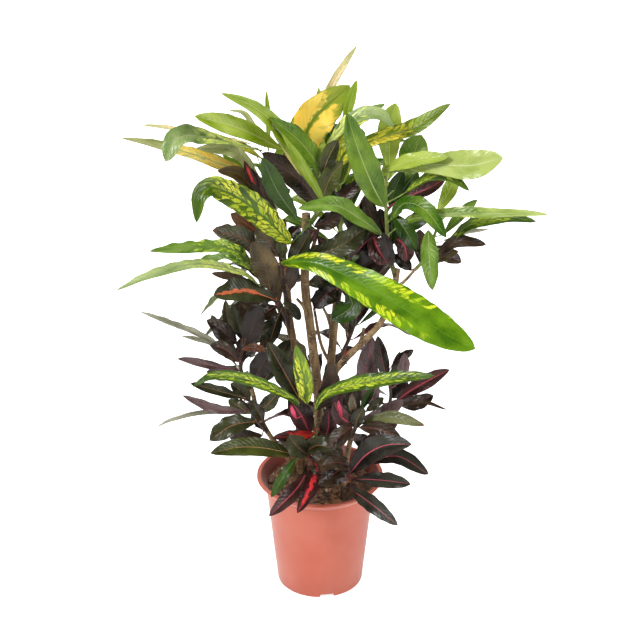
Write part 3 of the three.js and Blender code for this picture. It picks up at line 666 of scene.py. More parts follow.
# Each stem: its radii in mm at the soil and at the top, its places upwards, and its twigs.
stems = {
    "trunk_center": {
        "radii": (8.5, 6.5),
        "path": (
            (320, 482, 0), (318, 395, -4), (314, 358, -3), (310, 325, 0), (305, 285, 2), (306, 240, 4),
            (306, 213, 5),
        ),
        "twigs": (
            ((3.4, 2.6), ((308, 262, 4), (315, 240, 8), (320, 222, 10))),
            ((3, 2.4), ((310, 322, 0), (303, 306, -8), (297, 299, -13))),
        ),
    },
    "trunk_left": {
        # This trunk's bark is painted lighter: painted light that makes up for the shade of the leaves
        # in front of it.
        "bark": "paleBark",
        "radii": (8, 6.2),
        "path": (
            (302, 474, 34), (298, 400, 32), (293, 345, 28), (289, 320, 26), (287, 295, 26), (284,
             262, 30),
        ),
    },
    "trunk_back": {
        # This trunk's bark is painted lighter: painted light that makes up for the shade of the leaves
        # in front of it.
        "bark": "paleBark",
        "radii": (8, 6.2),
        "path": (
            (334, 470, 44), (331, 400, 44), (331, 365, 42), (333, 340, 42), (336, 310, 44), (340,
             278, 50),
        ),
        "twigs": (
            ((3.0, 2.2), ((331, 365, 42), (321, 344, 36), (314, 308, 28))),
            ((2.8, 2.0), ((333, 340, 42), (328, 318, 36), (318, 298, 28))),
        ),
    },
    "trunk_leaning": {
        "radii": (7, 4.6),
        "path": (
            (338, 482, -6), (329, 420, -24), (333, 378, -28), (345, 360, -28), (363, 342, -26),
            (382, 321, -20), (394, 290, -10), (398, 268, -2),
        ),
        "twigs": (
            ((3.2, 2.6), ((358, 347, -27), (362, 338, -36), (364, 329, -43))),
            ((2.8, 2), ((395, 288, -9), (406, 280, -8), (418, 266, -6))),
        ),
    },
    "stem_low_left": {
        "radii": (5, 3.4),
        "path": (
            (296, 478, 2), (284, 452, -10), (271, 438, -16), (258, 414, -16), (252, 392, -12), (246,
             372, -8),
        ),
    },
    "stem_low_right": {
        "radii": (4.6, 3.4),
        "path": ((352, 474, 24), (368, 446, 20), (380, 425, 14), (392, 404, 8)),
    },
    "stem_front": {
        "radii": (5.5, 4),
        "path": ((344, 492, -34), (345, 474, -40), (349, 448, -44), (354, 430, -46)),
    },
}


# A straight tube of unit radius and length, drawn up from a disc.
def modelTube(sides, cuts):
    deselect()
    bpy.ops.mesh.primitive_circle_add(vertices=sides, radius=1, fill_type="NGON")
    tube = bpy.context.object
    bpy.ops.object.mode_set(mode="EDIT")
    for cut in range(cuts):
        bpy.ops.mesh.extrude_region_move(TRANSFORM_OT_translate={"value": (0, 0, 1 / cuts)})
    pointFacesOut()
    bpy.ops.object.mode_set(mode="OBJECT")
    return tube


# Unit vectors across and out of something that runs along `forward` with its face towards `face`.
def bladeFrame(forward, face):
    across = forward.cross(face).normalized()
    return across, across.cross(forward).normalized()


# Lays a tube along a walk. radiusAt gives the radius from the share of the length and the turn.
def layTube(tube, walk, face, radiusAt):
    spots = {}
    for vertex in tube.data.vertices:
        share = round(vertex.co.z, 4)
        if share not in spots:
            centre, forward = walk(share)
            spots[share] = (centre, *bladeFrame(forward, face))
        centre, across, out = spots[share]
        turn = math.atan2(vertex.co.y, vertex.co.x)
        radius = radiusAt(share, turn)
        vertex.co = centre + radius * math.cos(turn) * across - radius * math.sin(turn) * out
    return tube


def barkRadius(radii, length, seed):
    first, last = mm(radii[0]), mm(radii[1])

    def radiusAt(share, turn):
        radius = first + (last - first) * share
        along = share * length
        height = along * bark["knotPace"] + seed * bark["seedStep"]
        spot = Vector((math.cos(turn), math.sin(turn), height))
        knots = bark["knots"] * noise.noise(spot * bark["knotScale"])
        stray = bark["scarStray"] * noise.noise(Vector((seed, 0, along * bark["scarPace"])))
        ring = math.cos(fullTurn * (along / bark["scarEvery"] + stray))
        scar = bark["scarHeight"] * max(0, ring) ** bark["scarNarrow"]
        return radius * (1 + knots + scar)

    return radiusAt


# The sawn end of a stem: its last disc is inset and sunk a little, and shows bare wood.
def sawTop(piece):
    faces = piece.data.polygons
    openAtFace(piece, max(faces, key=lambda face: len(face.vertices) * 10 + face.center.z).index)
    bpy.ops.mesh.inset(thickness=bark["cutRim"], depth=bark["cutDepth"])
    bpy.ops.object.material_slot_add()
    piece.active_material_index = 1
    bpy.ops.object.material_slot_assign()
    closeEdit()
    piece.data.materials[1] = bpy.data.materials["sawnWood"]


def modelStem(name, stem, number):
    places = placesOf(stem["path"])
    rods = [(stem["radii"], [places[0] - bark["buried"] * upward, *places], bark["sides"])]
    for radii, path in stem.get("twigs", ()):
        rods.append((radii, placesOf(path), bark["twigSides"]))
    parts = []
    for k, (radii, points, sides) in enumerate(rods):
        walk, length = curveThrough(points)
        tube = modelTube(sides, max(bark["fewestRings"], round(length / bark["ringEvery"])))
        layTube(tube, walk, towardsViewer, barkRadius(radii, length, number + 0.37 * k))
        dress(tube, stem.get("bark", "greyBark"))
        sawTop(tube)
        parts.append(tube)
    piece = joinAll(parts, name.replace("trunk", "bark").replace("stem", "bark_stem"))
    finishPiece(piece, "bark", name, 60)


# Woody or green skin: long streaks, scars across the stem and dark pores.
def barkMaterial(name, dark, light, scar, rough):
    tree, shader = newMaterial(name)
    streaks = grainOf(tree, *bark["streaks"])
    bands = grainOf(tree, *bark["bands"])
    color = mixColor(tree, patchy(tree, streaks["Coarse"]), tint(dark), tint(light))
    color = mixColor(tree, fade(tree, bands["Fine"], 0.56, 0.66, 0, 0.7), color, tint(scar))
    color = mixColor(tree, fade(tree, streaks["Fine"], 0.34, 0.26, 0, 0.75), color, bark["pore"])
    color = mixColor(tree, fade(tree, bands["Coarse"], 0.55, 0.75, 0, 0.5), color, tint(light))
    ridges = calc(tree, "MULTIPLY", bands["Fine"], bark["bandShare"])
    coat(tree, shader, (calc(tree, "ADD", streaks["Fine"], ridges), *bark["bump"]), {
        "Base Color": color,
        "Roughness": calc(tree, "MULTIPLY_ADD", streaks["Coarse"], bark["roughVary"], rough),
        "Specular IOR Level": bark["specular"],
    })


def sawnMaterial():
    tree, shader = newMaterial("sawnWood")
    grain = grainOf(tree, *bark["sawnGrain"])
    wood = mixColor(tree, patchy(tree, grain["Coarse"]), *bark["sawn"])
    bump = (grain["Fine"], *bark["sawnBump"])
    coat(tree, shader, bump, {"Base Color": wood, "Roughness": bark["sawnRough"]})


barkMaterial("greyBark", "483424", "a0845f", "c0a482", 0.6)
# A lighter copy of the bark: painted light for the trunks that the leaves shade.
barkMaterial("paleBark", "5c452f", "b4956c", "ceb28c", 0.6)
sawnMaterial()
for number, (name, stem) in enumerate(stems.items()):
    modelStem(name, stem, number)
print("stems grown")


# Each leafy shoot: its core's radii in mm and places, and its leaves. A leaf is (look, full width in
# mm, how far its face turns from the sky to the viewer in degrees, where it is widest in per cent of
# its length, then its midrib's places from base to tip).
shoots = {
    "shoot_crown_left": {
        "slot": "leaf_yellow",
        "radii": (4.6, 2.4),
        "core": ((307, 226, 5), (317, 213, -3), (320, 196, 0), (318, 174, 5), (311, 150, 10)),
        "leaves": (
            ("lime", 25, 50, 52, (318, 194, -6), (288, 140, -28), (258, 109, -40), (221, 92, -50)),
            ("lime", 32, 50, 58, (285, 150, 0), (240, 128, -20), (194, 115, -34)),
            ("fresh", 34, 44, 44, (322, 170, -8), (300, 141, -26), (270, 117, -40)),
            ("golden", 60, 70, 52, (302, 172, 14), (310, 124, 16), (350, 84, 12)),
            ("cream", 13, 60, 58, (312, 130, 28), (333, 82, 36), (357, 44, 44)),
            ("lime", 12, 60, 58, (316, 140, 34), (318, 108, 40), (319, 86, 46)),
            ("arching", 24, 50, 58, (326, 146, 0), (352, 118, -4), (378, 113, -8), (394, 126, -12)),
            ("blotched", 26, 60, 58, (324, 168, 24), (336, 142, 30), (352, 122, 34)),
            ("blotched", 22, 60, 58, (334, 172, 8), (344, 156, 6), (354, 141, 2)),
            ("olive", 26, 55, 58, (322, 176, -14), (328, 158, -20), (338, 139, -26)),
            ("deep", 32, 60, 58, (298, 220, -18), (277, 190, -34), (262, 157, -46)),
            ("plum", 40, 55, 50, (318, 206, -6), (300, 180, -16), (262, 152, -26)),
            ("celled", 42, 58, 46, (291, 243, -20), (252, 207, -62), (214, 187, -94),
             (199, 196, -106), (196, 222, -112)),
            ("golden", 16, 60, 58, (288, 182, 14), (287, 162, 14), (289, 142, 12)),
            ("banded", 27, 52, 62, (328, 166, 18), (372, 140, 22), (412, 128, 18), (451, 103, 10)),
            ("olive", 30, 55, 50, (322, 198, -14), (330, 178, -20), (343, 160, -22)),
            ("plum", 24, 55, 55, (326, 206, -10), (344, 196, -14), (360, 180, -10)),
            ("lime", 20, 55, 58, (306, 176, 20), (290, 148, 26), (272, 128, 30)),
            ("plum", 28, 60, 55, (314, 226, -4), (326, 222, 0), (342, 214, 4)),
            ("night", 22, 60, 55, (300, 226, 4), (296, 230, 2), (288, 236, 0)),
            ("lime", 16, 60, 52, (344, 124, 10), (350, 102, 8), (357, 79, 6)),
            ("lime", 13, 62, 50, (326, 206, -18), (305, 168, -40), (281, 132, -52)),
            ("amber", 16, 60, 55, (306, 180, -12), (290, 152, -26), (272, 122, -38)),
            ("lime", 28, 10, 58, (318, 170, 14), (324, 150, 40), (332, 146, 64)),
            ("fresh", 30, 10, 58, (316, 190, 10), (308, 172, 40), (300, 172, 62)),
        ),
    },
    "shoot_crown_far_left": {
        "slot": "leaf_green",
        "radii": (4, 2.2),
        "core": ((285, 268, 29), (281, 232, 36), (272, 200, 42), (264, 165, 48)),
        "leaves": (
            ("cream", 14, 12, 58, (250, 143, 48), (190, 130, 56), (140, 124, 64)),
            ("amber", 24, 42, 32, (248, 174, 40), (205, 158, 26), (165, 146, 14), (120, 137, 2)),
            ("arching", 34, 45, 74, (262, 150, 40), (203, 136, 4), (176, 138, -20), (165, 161, -32)),
            ("sage", 20, 60, 58, (262, 185, 34), (236, 152, 24), (196, 147, 14)),
            ("blotched", 16, 40, 58, (262, 158, 44), (238, 144, 50), (205, 138, 54)),
            ("umber", 24, 50, 58, (264, 204, 28), (240, 175, 8), (217, 170, -6)),
            ("sage", 10, 30, 58, (264, 142, 56), (245, 114, 64), (229, 109, 70)),
            ("lime", 9, 60, 58, (268, 150, 54), (268, 120, 58), (266, 90, 62)),
            ("ember", 14, 50, 50, (260, 196, 14), (252, 180, 6), (244, 160, 2)),
            ("fresh", 12, 40, 58, (258, 176, 46), (236, 164, 50), (222, 154, 54)),
            ("plum", 22, 58, 55, (276, 218, 22), (262, 192, 12), (248, 166, 6)),
            ("umber", 24, 55, 58, (282, 230, 44), (262, 216, 52), (238, 204, 58)),
            ("fresh", 26, 55, 58, (270, 172, 52), (286, 146, 60), (300, 120, 66)),
            ("fresh", 28, 10, 58, (268, 180, 54), (262, 164, 84), (256, 166, 112)),
            ("umber", 26, 10, 58, (274, 204, 50), (280, 190, 78), (286, 194, 104)),
        ),
    },
    "shoot_crown_right": {
        "slot": "leaf_green",
        "radii": (4, 2.4),
        "core": ((396, 278, -4), (389, 250, 0), (387, 222, 4), (386, 196, 8), (386, 175, 12)),
        "leaves": (
            ("fresh", 44, 70, 48, (384, 206, -4), (372, 183, -14), (357, 145, -22), (347, 112, -24)),
            ("lime", 38, 62, 60, (390, 172, 34), (390, 130, 46), (396, 102, 52)),
            ("matte", 46, 58, 62, (402, 182, 28), (412, 158, 36), (422, 134, 42)),
            ("long", 46, 50, 74, (380, 172, 2), (425, 164, -24), (470, 165, -52), (504, 157, -68)),
            ("striped", 19, 45, 58, (404, 193, -2), (428, 177, -20), (450, 176, -34), (470, 190, -44)),
            ("maroon", 24, 45, 58, (402, 198, 8), (428, 188, 8), (446, 178, 8)),
            ("deep", 26, 60, 58, (390, 208, 14), (395, 190, 18), (403, 170, 22)),
            ("fresh", 28, 50, 58, (390, 220, -8), (405, 203, -30), (426, 210, -50), (447, 237, -64)),
            ("long", 20, 40, 58, (392, 231, -10), (414, 218, -24), (450, 213, -46),
             (500, 213, -70), (549, 214, -90)),
            ("deep", 26, 60, 58, (392, 212, -10), (406, 230, -24), (417, 250, -30)),
            ("matte", 30, 50, 58, (384, 236, -14), (364, 221, -34), (335, 205, -54), (298, 208, -66)),
            ("plum", 22, 60, 58, (384, 238, 12), (372, 216, 14), (364, 196, 16)),
            ("maroon", 36, 68, 55, (374, 236, -6), (378, 248, -16), (388, 264, -20)),
            ("night", 30, 60, 55, (382, 230, 22), (370, 216, 30), (364, 196, 36)),
            ("night", 24, 60, 50, (380, 236, 30), (352, 222, 36), (346, 192, 44)),
            ("maroon", 30, 60, 55, (392, 236, 14), (404, 244, 8), (408, 262, 2)),
            ("deep", 34, 55, 55, (392, 200, 30), (404, 188, 44), (418, 170, 54)),
            ("deep", 28, 55, 55, (396, 226, 20), (414, 222, 28), (436, 206, 34)),
            ("night", 24, 60, 55, (390, 240, 6), (384, 226, 10), (380, 208, 14)),
            ("deep", 22, 60, 55, (388, 250, 8), (392, 232, 14), (392, 212, 18)),
            ("night", 20, 60, 55, (392, 266, -14), (388, 250, -22), (383, 232, -26)),
            ("lime", 30, 10, 58, (386, 182, 20), (392, 166, 50), (398, 168, 78)),
            ("deep", 30, 10, 58, (388, 200, 14), (378, 190, 46), (372, 194, 74)),
            ("plum", 28, 10, 58, (388, 232, 10), (398, 226, 40), (404, 232, 66)),
            ("lime", 25, 58, 56, (382, 170, -6), (412, 160, -26), (449, 156, -44)),
        ),
    },
    "shoot_far_right": {
        "slot": "leaf_green",
        "radii": (3, 2),
        "core": ((415, 270, -6), (424, 260, -4), (430, 246, -2), (436, 232, 2), (438, 218, 6)),
        "leaves": (
            ("lime", 24, 60, 58, (438, 212, 14), (450, 190, 26), (458, 169, 34)),
            ("striped", 20, 45, 58, (444, 248, -8), (470, 225, -26), (508, 217, -44), (537, 221, -56)),
            ("fresh", 18, 50, 58, (444, 234, 2), (460, 216, 0), (478, 199, -2)),
            ("grey", 8, 20, 58, (445, 240, 8), (468, 232, 12), (489, 229, 16)),
            ("plum", 20, 45, 58, (432, 262, -12), (456, 242, -20), (487, 244, -30)),
            ("umber", 18, 45, 58, (430, 264, 0), (445, 256, 2), (459, 251, 4)),
            ("matte", 28, 75, 48, (429, 230, -22), (430, 260, -46), (433, 290, -56)),
            ("plum", 24, 60, 58, (420, 262, 6), (421, 246, 12), (420, 229, 16)),
            ("plum", 26, 60, 55, (424, 258, 12), (440, 252, 20), (462, 262, 26)),
            ("night", 22, 60, 55, (412, 270, -2), (404, 262, 2), (396, 254, 6)),
            ("fresh", 26, 10, 58, (438, 224, 10), (444, 212, 36), (450, 216, 62)),
        ),
    },
    "shoot_hero": {
        "slot": "leaf_yellow",
        "radii": (4, 2.4),
        "core": ((289, 308, 26), (284, 288, 4), (282, 270, -14), (279, 252, -20)),
        "stem": "darkStem",
        "leaves": (
            ("edged", 60, 55, 68, (281, 263, -30), (312, 262, -48), (345, 275, -64), (405, 309, -92),
             (450, 336, -110), (476, 349, -116)),
            ("dusk", 26, 55, 58, (286, 268, -16), (298, 252, -20), (310, 231, -24)),
            ("dusk", 38, 50, 60, (290, 262, -22), (336, 248, -24), (370, 224, -10)),
            ("sheen", 38, 60, 55, (277, 256, -22), (268, 240, -24), (256, 226, -22)),
            ("olive", 18, 60, 58, (283, 258, -22), (282, 250, -26), (279, 238, -28)),
            ("plum", 22, 60, 58, (290, 290, -8), (292, 276, -12), (295, 262, -16)),
            ("rust", 30, 55, 58, (276, 252, -14), (252, 228, -12), (230, 213, -14)),
            ("veined", 36, 50, 60, (272, 256, -8), (242, 238, -26), (212, 230, -38)),
            ("crimson", 26, 60, 55, (288, 262, -10), (300, 244, -8), (318, 230, -8)),
            ("plum", 22, 60, 55, (284, 252, -8), (280, 236, -2), (284, 218, 2)),
            ("plum", 28, 10, 58, (284, 284, 10), (292, 276, 38), (298, 282, 62)),
        ),
    },
    "shoot_middle_left": {
        "slot": "leaf_dark",
        "radii": (4, 2.4),
        "core": ((290, 326, 27), (280, 304, 0), (272, 290, -14), (263, 284, -22)),
        "leaves": (
            ("spotted", 24, 45, 58, (262, 280, -26), (236, 251, -50), (200, 247, -66), (149, 251, -78)),
            ("arching", 18, 45, 58, (260, 286, -28), (240, 272, -44), (195, 264, -70),
             (150, 275, -86), (116, 290, -92)),
            ("flame", 40, 52, 62, (276, 300, -16), (246, 291, -40), (213, 295, -58)),
            ("umber", 40, 62, 55, (270, 290, -30), (264, 264, -46), (252, 241, -56)),
            ("plum", 14, 50, 58, (260, 288, -10), (236, 278, -8), (211, 273, -6)),
            ("plum", 26, 60, 55, (276, 306, -12), (266, 312, -20), (254, 318, -24)),
            ("dusk", 24, 62, 52, (280, 312, -8), (274, 328, -18), (269, 345, -22)),
            ("plum", 24, 60, 55, (270, 300, 2), (254, 304, 8), (238, 300, 10)),
            ("dusk", 18, 60, 55, (284, 302, 8), (293, 309, 14), (300, 320, 16)),
            ("umber", 20, 60, 55, (280, 300, -4), (277, 282, 0), (280, 262, 4)),
            ("dusk", 28, 10, 58, (276, 298, 0), (268, 290, 28), (262, 296, 54)),
        ),
    },
    "shoot_middle": {
        "slot": "leaf_dark",
        "radii": (4, 2.4),
        "core": ((335, 318, 43), (340, 292, 26), (346, 270, 14), (352, 250, 10)),
        "leaves": (
            ("night", 44, 55, 58, (348, 276, 8), (366, 266, -2), (389, 254, -12)),
            ("deep", 36, 60, 58, (346, 290, 14), (352, 306, 4), (332, 320, -2)),
            ("night", 30, 60, 58, (336, 288, 20), (326, 294, 12), (314, 308, 6)),
            ("maroon", 22, 60, 58, (340, 270, 8), (330, 254, 4), (318, 236, 2)),
            ("plum", 22, 60, 58, (350, 258, 6), (358, 240, 2), (372, 222, 22)),
            ("dusk", 26, 60, 58, (354, 270, 18), (368, 282, 14), (378, 296, 8)),
            ("plum", 28, 60, 55, (336, 276, 20), (322, 262, 24), (312, 246, 28)),
            ("maroon", 26, 60, 55, (355, 254, 14), (364, 244, 14), (376, 234, 16)),
            ("deep", 26, 60, 55, (344, 282, 30), (358, 286, 40), (374, 282, 48)),
            ("dusk", 26, 60, 55, (338, 300, 30), (326, 286, 28), (314, 276, 24)),
            ("dusk", 24, 60, 55, (340, 284, 26), (326, 280, 30), (308, 284, 34)),
            ("olive", 20, 60, 55, (338, 300, 28), (326, 300, 32), (310, 300, 36)),
        ),
    },
    "shoot_twig_left": {
        "slot": "leaf_dark",
        "radii": (3.2, 2),
        "core": ((250, 388, -12), (242, 377, -20), (240, 357, -26), (246, 338, -25)),
        "leaves": (
            ("grey", 13, 30, 58, (236, 366, -16), (222, 350, -24), (205, 338, -30),
             (175, 325, -40), (140, 312, -50)),
            ("grey", 9, 20, 58, (226, 352, -8), (205, 342, -8), (181, 336, -8)),
            ("dusk", 20, 55, 58, (236, 350, 4), (220, 334, 8), (211, 315, 12)),
            ("plum", 18, 50, 58, (238, 360, 0), (225, 352, 2), (208, 342, 4)),
            ("dusk", 16, 65, 58, (236, 340, -4), (228, 322, -2), (225, 300, 0)),
            ("dusk", 16, 65, 58, (242, 336, -8), (236, 320, -8), (232, 303, -6)),
            ("night", 36, 60, 58, (246, 346, -22), (252, 328, -30), (259, 305, -34)),
            ("plum", 22, 60, 58, (258, 356, 0), (268, 334, 6), (276, 310, 10)),
            ("rust", 14, 44, 50, (242, 349, -34), (254, 348, -40), (267, 351, -42)),
            ("night", 36, 62, 58, (252, 382, -22), (260, 368, -30), (272, 350, -34)),
            ("dusk", 30, 62, 58, (262, 384, -8), (276, 362, -8), (290, 340, -8)),
            ("mauve", 15, 45, 58, (240, 371, -18), (215, 367, -28), (190, 361, -36), (177, 359, -40)),
            ("plum", 28, 55, 55, (236, 344, -14), (221, 330, -18), (206, 320, -20)),
            ("dusk", 28, 60, 55, (248, 346, -14), (262, 332, -10), (282, 326, -6)),
            ("plum", 30, 60, 55, (242, 340, 4), (238, 320, 10), (240, 300, 14)),
            ("plum", 26, 55, 58, (238, 362, -34), (226, 350, -42), (210, 345, -48)),
            ("plum", 26, 55, 55, (240, 366, 2), (226, 374, 10), (206, 372, 16)),
            ("night", 20, 60, 55, (243, 362, -18), (242, 350, -14), (240, 338, -8)),
            ("dusk", 28, 10, 58, (242, 362, -12), (246, 352, 18), (250, 358, 42)),
        ),
    },
    "shoot_low_left": {
        "slot": "leaf_dark",
        "radii": (3.4, 2.2),
        "core": ((268, 434, -16), (256, 420, -26), (248, 408, -34), (240, 400, -40)),
        "leaves": (
            ("dusk", 18, 50, 58, (246, 399, -44), (220, 392, -56), (190, 384, -66)),
            ("dusk", 24, 55, 58, (250, 402, -32), (242, 392, -34), (230, 384, -38)),
            ("mauve", 16, 50, 50, (244, 412, -40), (214, 409, -54), (182, 396, -64)),
            ("grey", 9, 30, 58, (246, 414, -34), (205, 413, -46), (172, 420, -56), (157, 427, -60)),
            ("dusk", 34, 52, 58, (256, 422, -40), (232, 426, -56), (209, 441, -66)),
            ("dusk", 20, 60, 58, (263, 422, -34), (258, 412, -42), (252, 402, -50)),
            ("dusk", 24, 60, 58, (258, 412, -26), (268, 404, -34), (278, 393, -38)),
            ("plum", 26, 55, 58, (262, 436, -30), (246, 438, -42), (228, 436, -50)),
            ("dusk", 22, 60, 55, (250, 414, -28), (240, 408, -22), (228, 400, -16)),
            ("night", 20, 60, 55, (262, 430, -20), (258, 422, -12), (252, 412, -6)),
            ("plum", 26, 10, 58, (252, 414, -20), (246, 404, 8), (240, 408, 32)),
        ),
    },
    "shoot_center": {
        "slot": "leaf_yellow",
        "radii": (4, 2.4),
        "core": ((317, 446, -3), (314, 430, -22), (310, 416, -34), (307, 402, -40)),
        "leaves": (
            ("celled", 28, 72, 44, (306, 404, -46), (304, 380, -54), (296, 345, -58)),
            ("striped", 26, 48, 58, (313, 414, -40), (324, 396, -52), (350, 386, -64),
             (392, 379, -84), (435, 376, -100)),
            ("striped", 19, 48, 58, (304, 412, -42), (296, 402, -54), (270, 388, -70),
             (240, 378, -84), (212, 376, -94), (192, 387, -100)),
            ("dusk", 38, 58, 55, (304, 408, -34), (286, 376, -38), (267, 342, -40)),
            ("maroon", 38, 58, 55, (310, 434, -36), (301, 416, -48), (288, 398, -56)),
            ("blaze", 22, 55, 52, (314, 434, -34), (296, 437, -52), (273, 438, -66)),
            ("maroon", 28, 60, 52, (320, 430, -30), (334, 414, -36), (344, 392, -40)),
            ("maroon", 28, 60, 52, (319, 446, -24), (328, 430, -38), (328, 408, -46)),
            ("plum", 30, 60, 50, (316, 410, -32), (330, 388, -40), (330, 362, -44)),
            ("plum", 24, 60, 55, (308, 400, -30), (298, 372, -30), (290, 350, -28)),
            ("sheen", 26, 55, 55, (312, 438, -34), (298, 442, -38), (284, 438, -36)),
            ("dusk", 26, 60, 55, (318, 438, -36), (330, 444, -54), (342, 458, -62)),
            ("rosy", 8, 60, 50, (296, 419, -58), (293, 413, -62), (291, 405, -62)),
        ),
    },
    "shoot_right_mid": {
        "slot": "leaf_purple",
        "radii": (3.6, 2.2),
        "core": ((350, 440, -45), (357, 426, -50), (361, 416, -52)),
        "leaves": (
            ("dried", 21, 44, 50, (362, 424, -56), (392, 418, -70), (425, 426, -84)),
            ("dusk", 22, 60, 58, (356, 430, -58), (357, 420, -64), (364, 408, -66)),
            ("deep", 14, 65, 58, (361, 412, -48), (366, 400, -46), (374, 387, -44)),
            ("dusk", 15, 65, 58, (366, 412, -52), (374, 406, -54), (384, 398, -54)),
            ("sheen", 13, 65, 58, (356, 418, -56), (353, 408, -62), (352, 394, -64)),
            ("plum", 30, 58, 52, (367, 420, -50), (380, 425, -27), (398, 424, -8)),
            ("plum", 30, 60, 52, (356, 424, -46), (352, 400, -44), (358, 374, -42)),
            ("maroon", 26, 60, 55, (356, 426, -58), (342, 418, -68), (334, 402, -72)),
            ("plum", 26, 55, 55, (360, 428, -60), (380, 430, -74), (402, 440, -84)),
            ("plum", 28, 60, 55, (352, 427, -66), (341, 436, -80), (328, 450, -90)),
            ("mauve", 26, 60, 55, (362, 420, -44), (384, 414, -36), (404, 400, -32)),
            ("plum", 24, 60, 55, (354, 434, -40), (360, 440, -34), (372, 446, -28)),
            ("rosy", 7, 60, 50, (342, 417, -68), (340, 409, -76), (338, 400, -80)),
        ),
    },
    "shoot_low_right": {
        "slot": "leaf_purple",
        "radii": (3.2, 2),
        "core": ((388, 411, 9), (391, 398, 4), (390, 384, 2), (388, 370, 2)),
        "leaves": (
            ("mauve", 38, 68, 50, (376, 410, 0), (367, 374, -6), (372, 336, -8)),
            ("plum", 22, 70, 58, (388, 384, -8), (383, 362, -16), (378, 336, -20)),
            ("mauve", 20, 65, 58, (396, 386, 0), (403, 372, -2), (405, 353, -4)),
            ("plum", 15, 50, 58, (392, 366, 6), (402, 358, 8), (414, 350, 10)),
            ("maroon", 26, 50, 58, (396, 402, -2), (416, 388, -14), (450, 370, -28)),
            ("plum", 8, 35, 58, (396, 407, -4), (420, 402, -16), (447, 410, -26)),
            ("plum", 24, 60, 55, (384, 404, 12), (366, 396, 16), (348, 380, 20)),
            ("dusk", 28, 60, 52, (392, 396, 14), (398, 374, 22), (400, 352, 28)),
            ("plum", 26, 55, 55, (397, 402, 12), (414, 404, 22), (434, 396, 32)),
            ("night", 22, 60, 55, (391, 398, 6), (400, 392, 10), (408, 382, 14)),
            ("plum", 26, 10, 58, (390, 392, 10), (396, 382, 38), (402, 388, 62)),
        ),
    },
    "shoot_front_right": {
        "slot": "leaf_purple",
        "radii": (4, 2.6),
        "core": ((345, 480, -38), (350, 472, -52), (356, 464, -60)),
        "leaves": (
            ("inky", 40, 52, 54, (351, 473, -64), (366, 456, -78), (386, 446, -92), (412, 445, -104)),
            ("inky", 26, 50, 58, (366, 464, -60), (398, 457, -74), (429, 475, -90)),
            ("inky", 27, 45, 58, (354, 480, -62), (381, 481, -88), (411, 485, -110)),
            ("inky", 26, 50, 58, (348, 488, -66), (372, 505, -112), (398, 526, -136)),
            ("plum", 28, 55, 55, (356, 458, -50), (370, 444, -42), (394, 440, -36)),
            ("plum", 26, 58, 55, (350, 466, -64), (337, 463, -80), (321, 466, -90)),
            ("plum", 26, 52, 55, (346, 480, -60), (334, 478, -78), (318, 486, -90)),
            ("plum", 22, 55, 55, (350, 484, -62), (350, 492, -80), (344, 502, -92)),
            ("plum", 26, 55, 55, (348, 470, -58), (338, 472, -74), (328, 480, -84)),
        ),
    },
    "shoot_front_left": {
        "slot": "leaf_purple",
        "radii": (4.4, 2.8),
        "core": ((318, 472, -1), (314, 462, -26), (308, 454, -44), (302, 450, -54)),
        "leaves": (
            ("dusk", 36, 58, 58, (308, 456, -50), (298, 448, -62), (288, 436, -70)),
            ("sheen", 30, 55, 55, (312, 456, -46), (324, 452, -64), (336, 462, -76)),
            ("ember", 28, 55, 50, (318, 468, -40), (313, 482, -84), (304, 502, -110), (297, 514, -122)),
            ("maroon", 24, 52, 58, (308, 470, -54), (296, 490, -88), (269, 517, -118)),
            ("olive", 32, 50, 58, (298, 456, -56), (265, 449, -76), (238, 448, -92), (210, 454, -104)),
            ("deep", 17, 60, 55, (296, 458, -60), (284, 476, -78), (271, 498, -88)),
            ("plum", 24, 55, 55, (306, 466, -52), (312, 478, -68), (326, 488, -78)),
            ("dusk", 28, 50, 55, (306, 452, -52), (318, 446, -66), (334, 450, -76)),
            ("plum", 26, 55, 55, (302, 452, -40), (286, 448, -34), (268, 450, -30)),
        ),
    },
}

# The back of the bush grows by a rule: how many leaves, their length and width in mm, the arc of
# directions that they fill in degrees from +X towards +Y, how steeply they rise and how they droop.
backShoots = {
    "shoot_back_crown": {
        "slot": "leaf_green",
        "radii": (4.4, 2.4),
        "core": ((340, 284, 49), (342, 250, 70), (340, 215, 84), (338, 180, 92)),
        "count": 16,
        "length": (150, 205),
        "width": (28, 42),
        "arc": (8, 158),
        "rise": (18, 60),
        "droop": 48,
        "looks": ("fresh", "deep", "edged", "lime", "fresh", "blotched", "deep", "celled"),
    },
    "shoot_back_left": {
        "slot": "leaf_dark",
        "radii": (4, 2.2),
        "core": ((291, 332, 27), (280, 312, 60), (272, 290, 84), (268, 268, 98)),
        "count": 11,
        "length": (120, 165),
        "width": (24, 34),
        "arc": (70, 172),
        "rise": (-8, 24),
        "droop": 38,
        "looks": ("dusk", "deep", "spotted", "fresh", "dusk", "maroon"),
    },
    "shoot_back_right": {
        "slot": "leaf_purple",
        "radii": (4, 2.2),
        "core": ((331, 372, 43), (344, 350, 76), (354, 326, 96), (360, 300, 108)),
        "count": 12,
        "length": (110, 160),
        "width": (22, 32),
        "arc": (22, 118),
        "rise": (-4, 40),
        "droop": 40,
        "looks": ("plum", "dusk", "maroon", "sheen", "plum", "deep"),
    },
    "shoot_back_low": {
        "slot": "leaf_purple",
        "radii": (4, 2.2),
        "core": ((332, 440, 44), (326, 418, 76), (320, 400, 92), (316, 384, 100)),
        "count": 12,
        "length": (100, 150),
        "width": (22, 32),
        "arc": (15, 165),
        "rise": (-5, 40),
        "droop": 45,
        "looks": ("maroon", "plum", "dusk", "plum", "ember", "sheen"),
    },
}
backRule = {
    "from": 0.35,  # the share of the stem where the leaves begin
    "over": 0.64,  # the share that they fill
    "spiral": 0.618034,
    "spiralStray": 0.04,
    "riseStray": 9,
    "droopSpread": (0.7, 1.2),
    "topShorter": 0.22,
    "stalk": 0.016,
    "widest": 58,
    "seed": 101,
    "number": 20,  # what the first of these shoots counts as
}

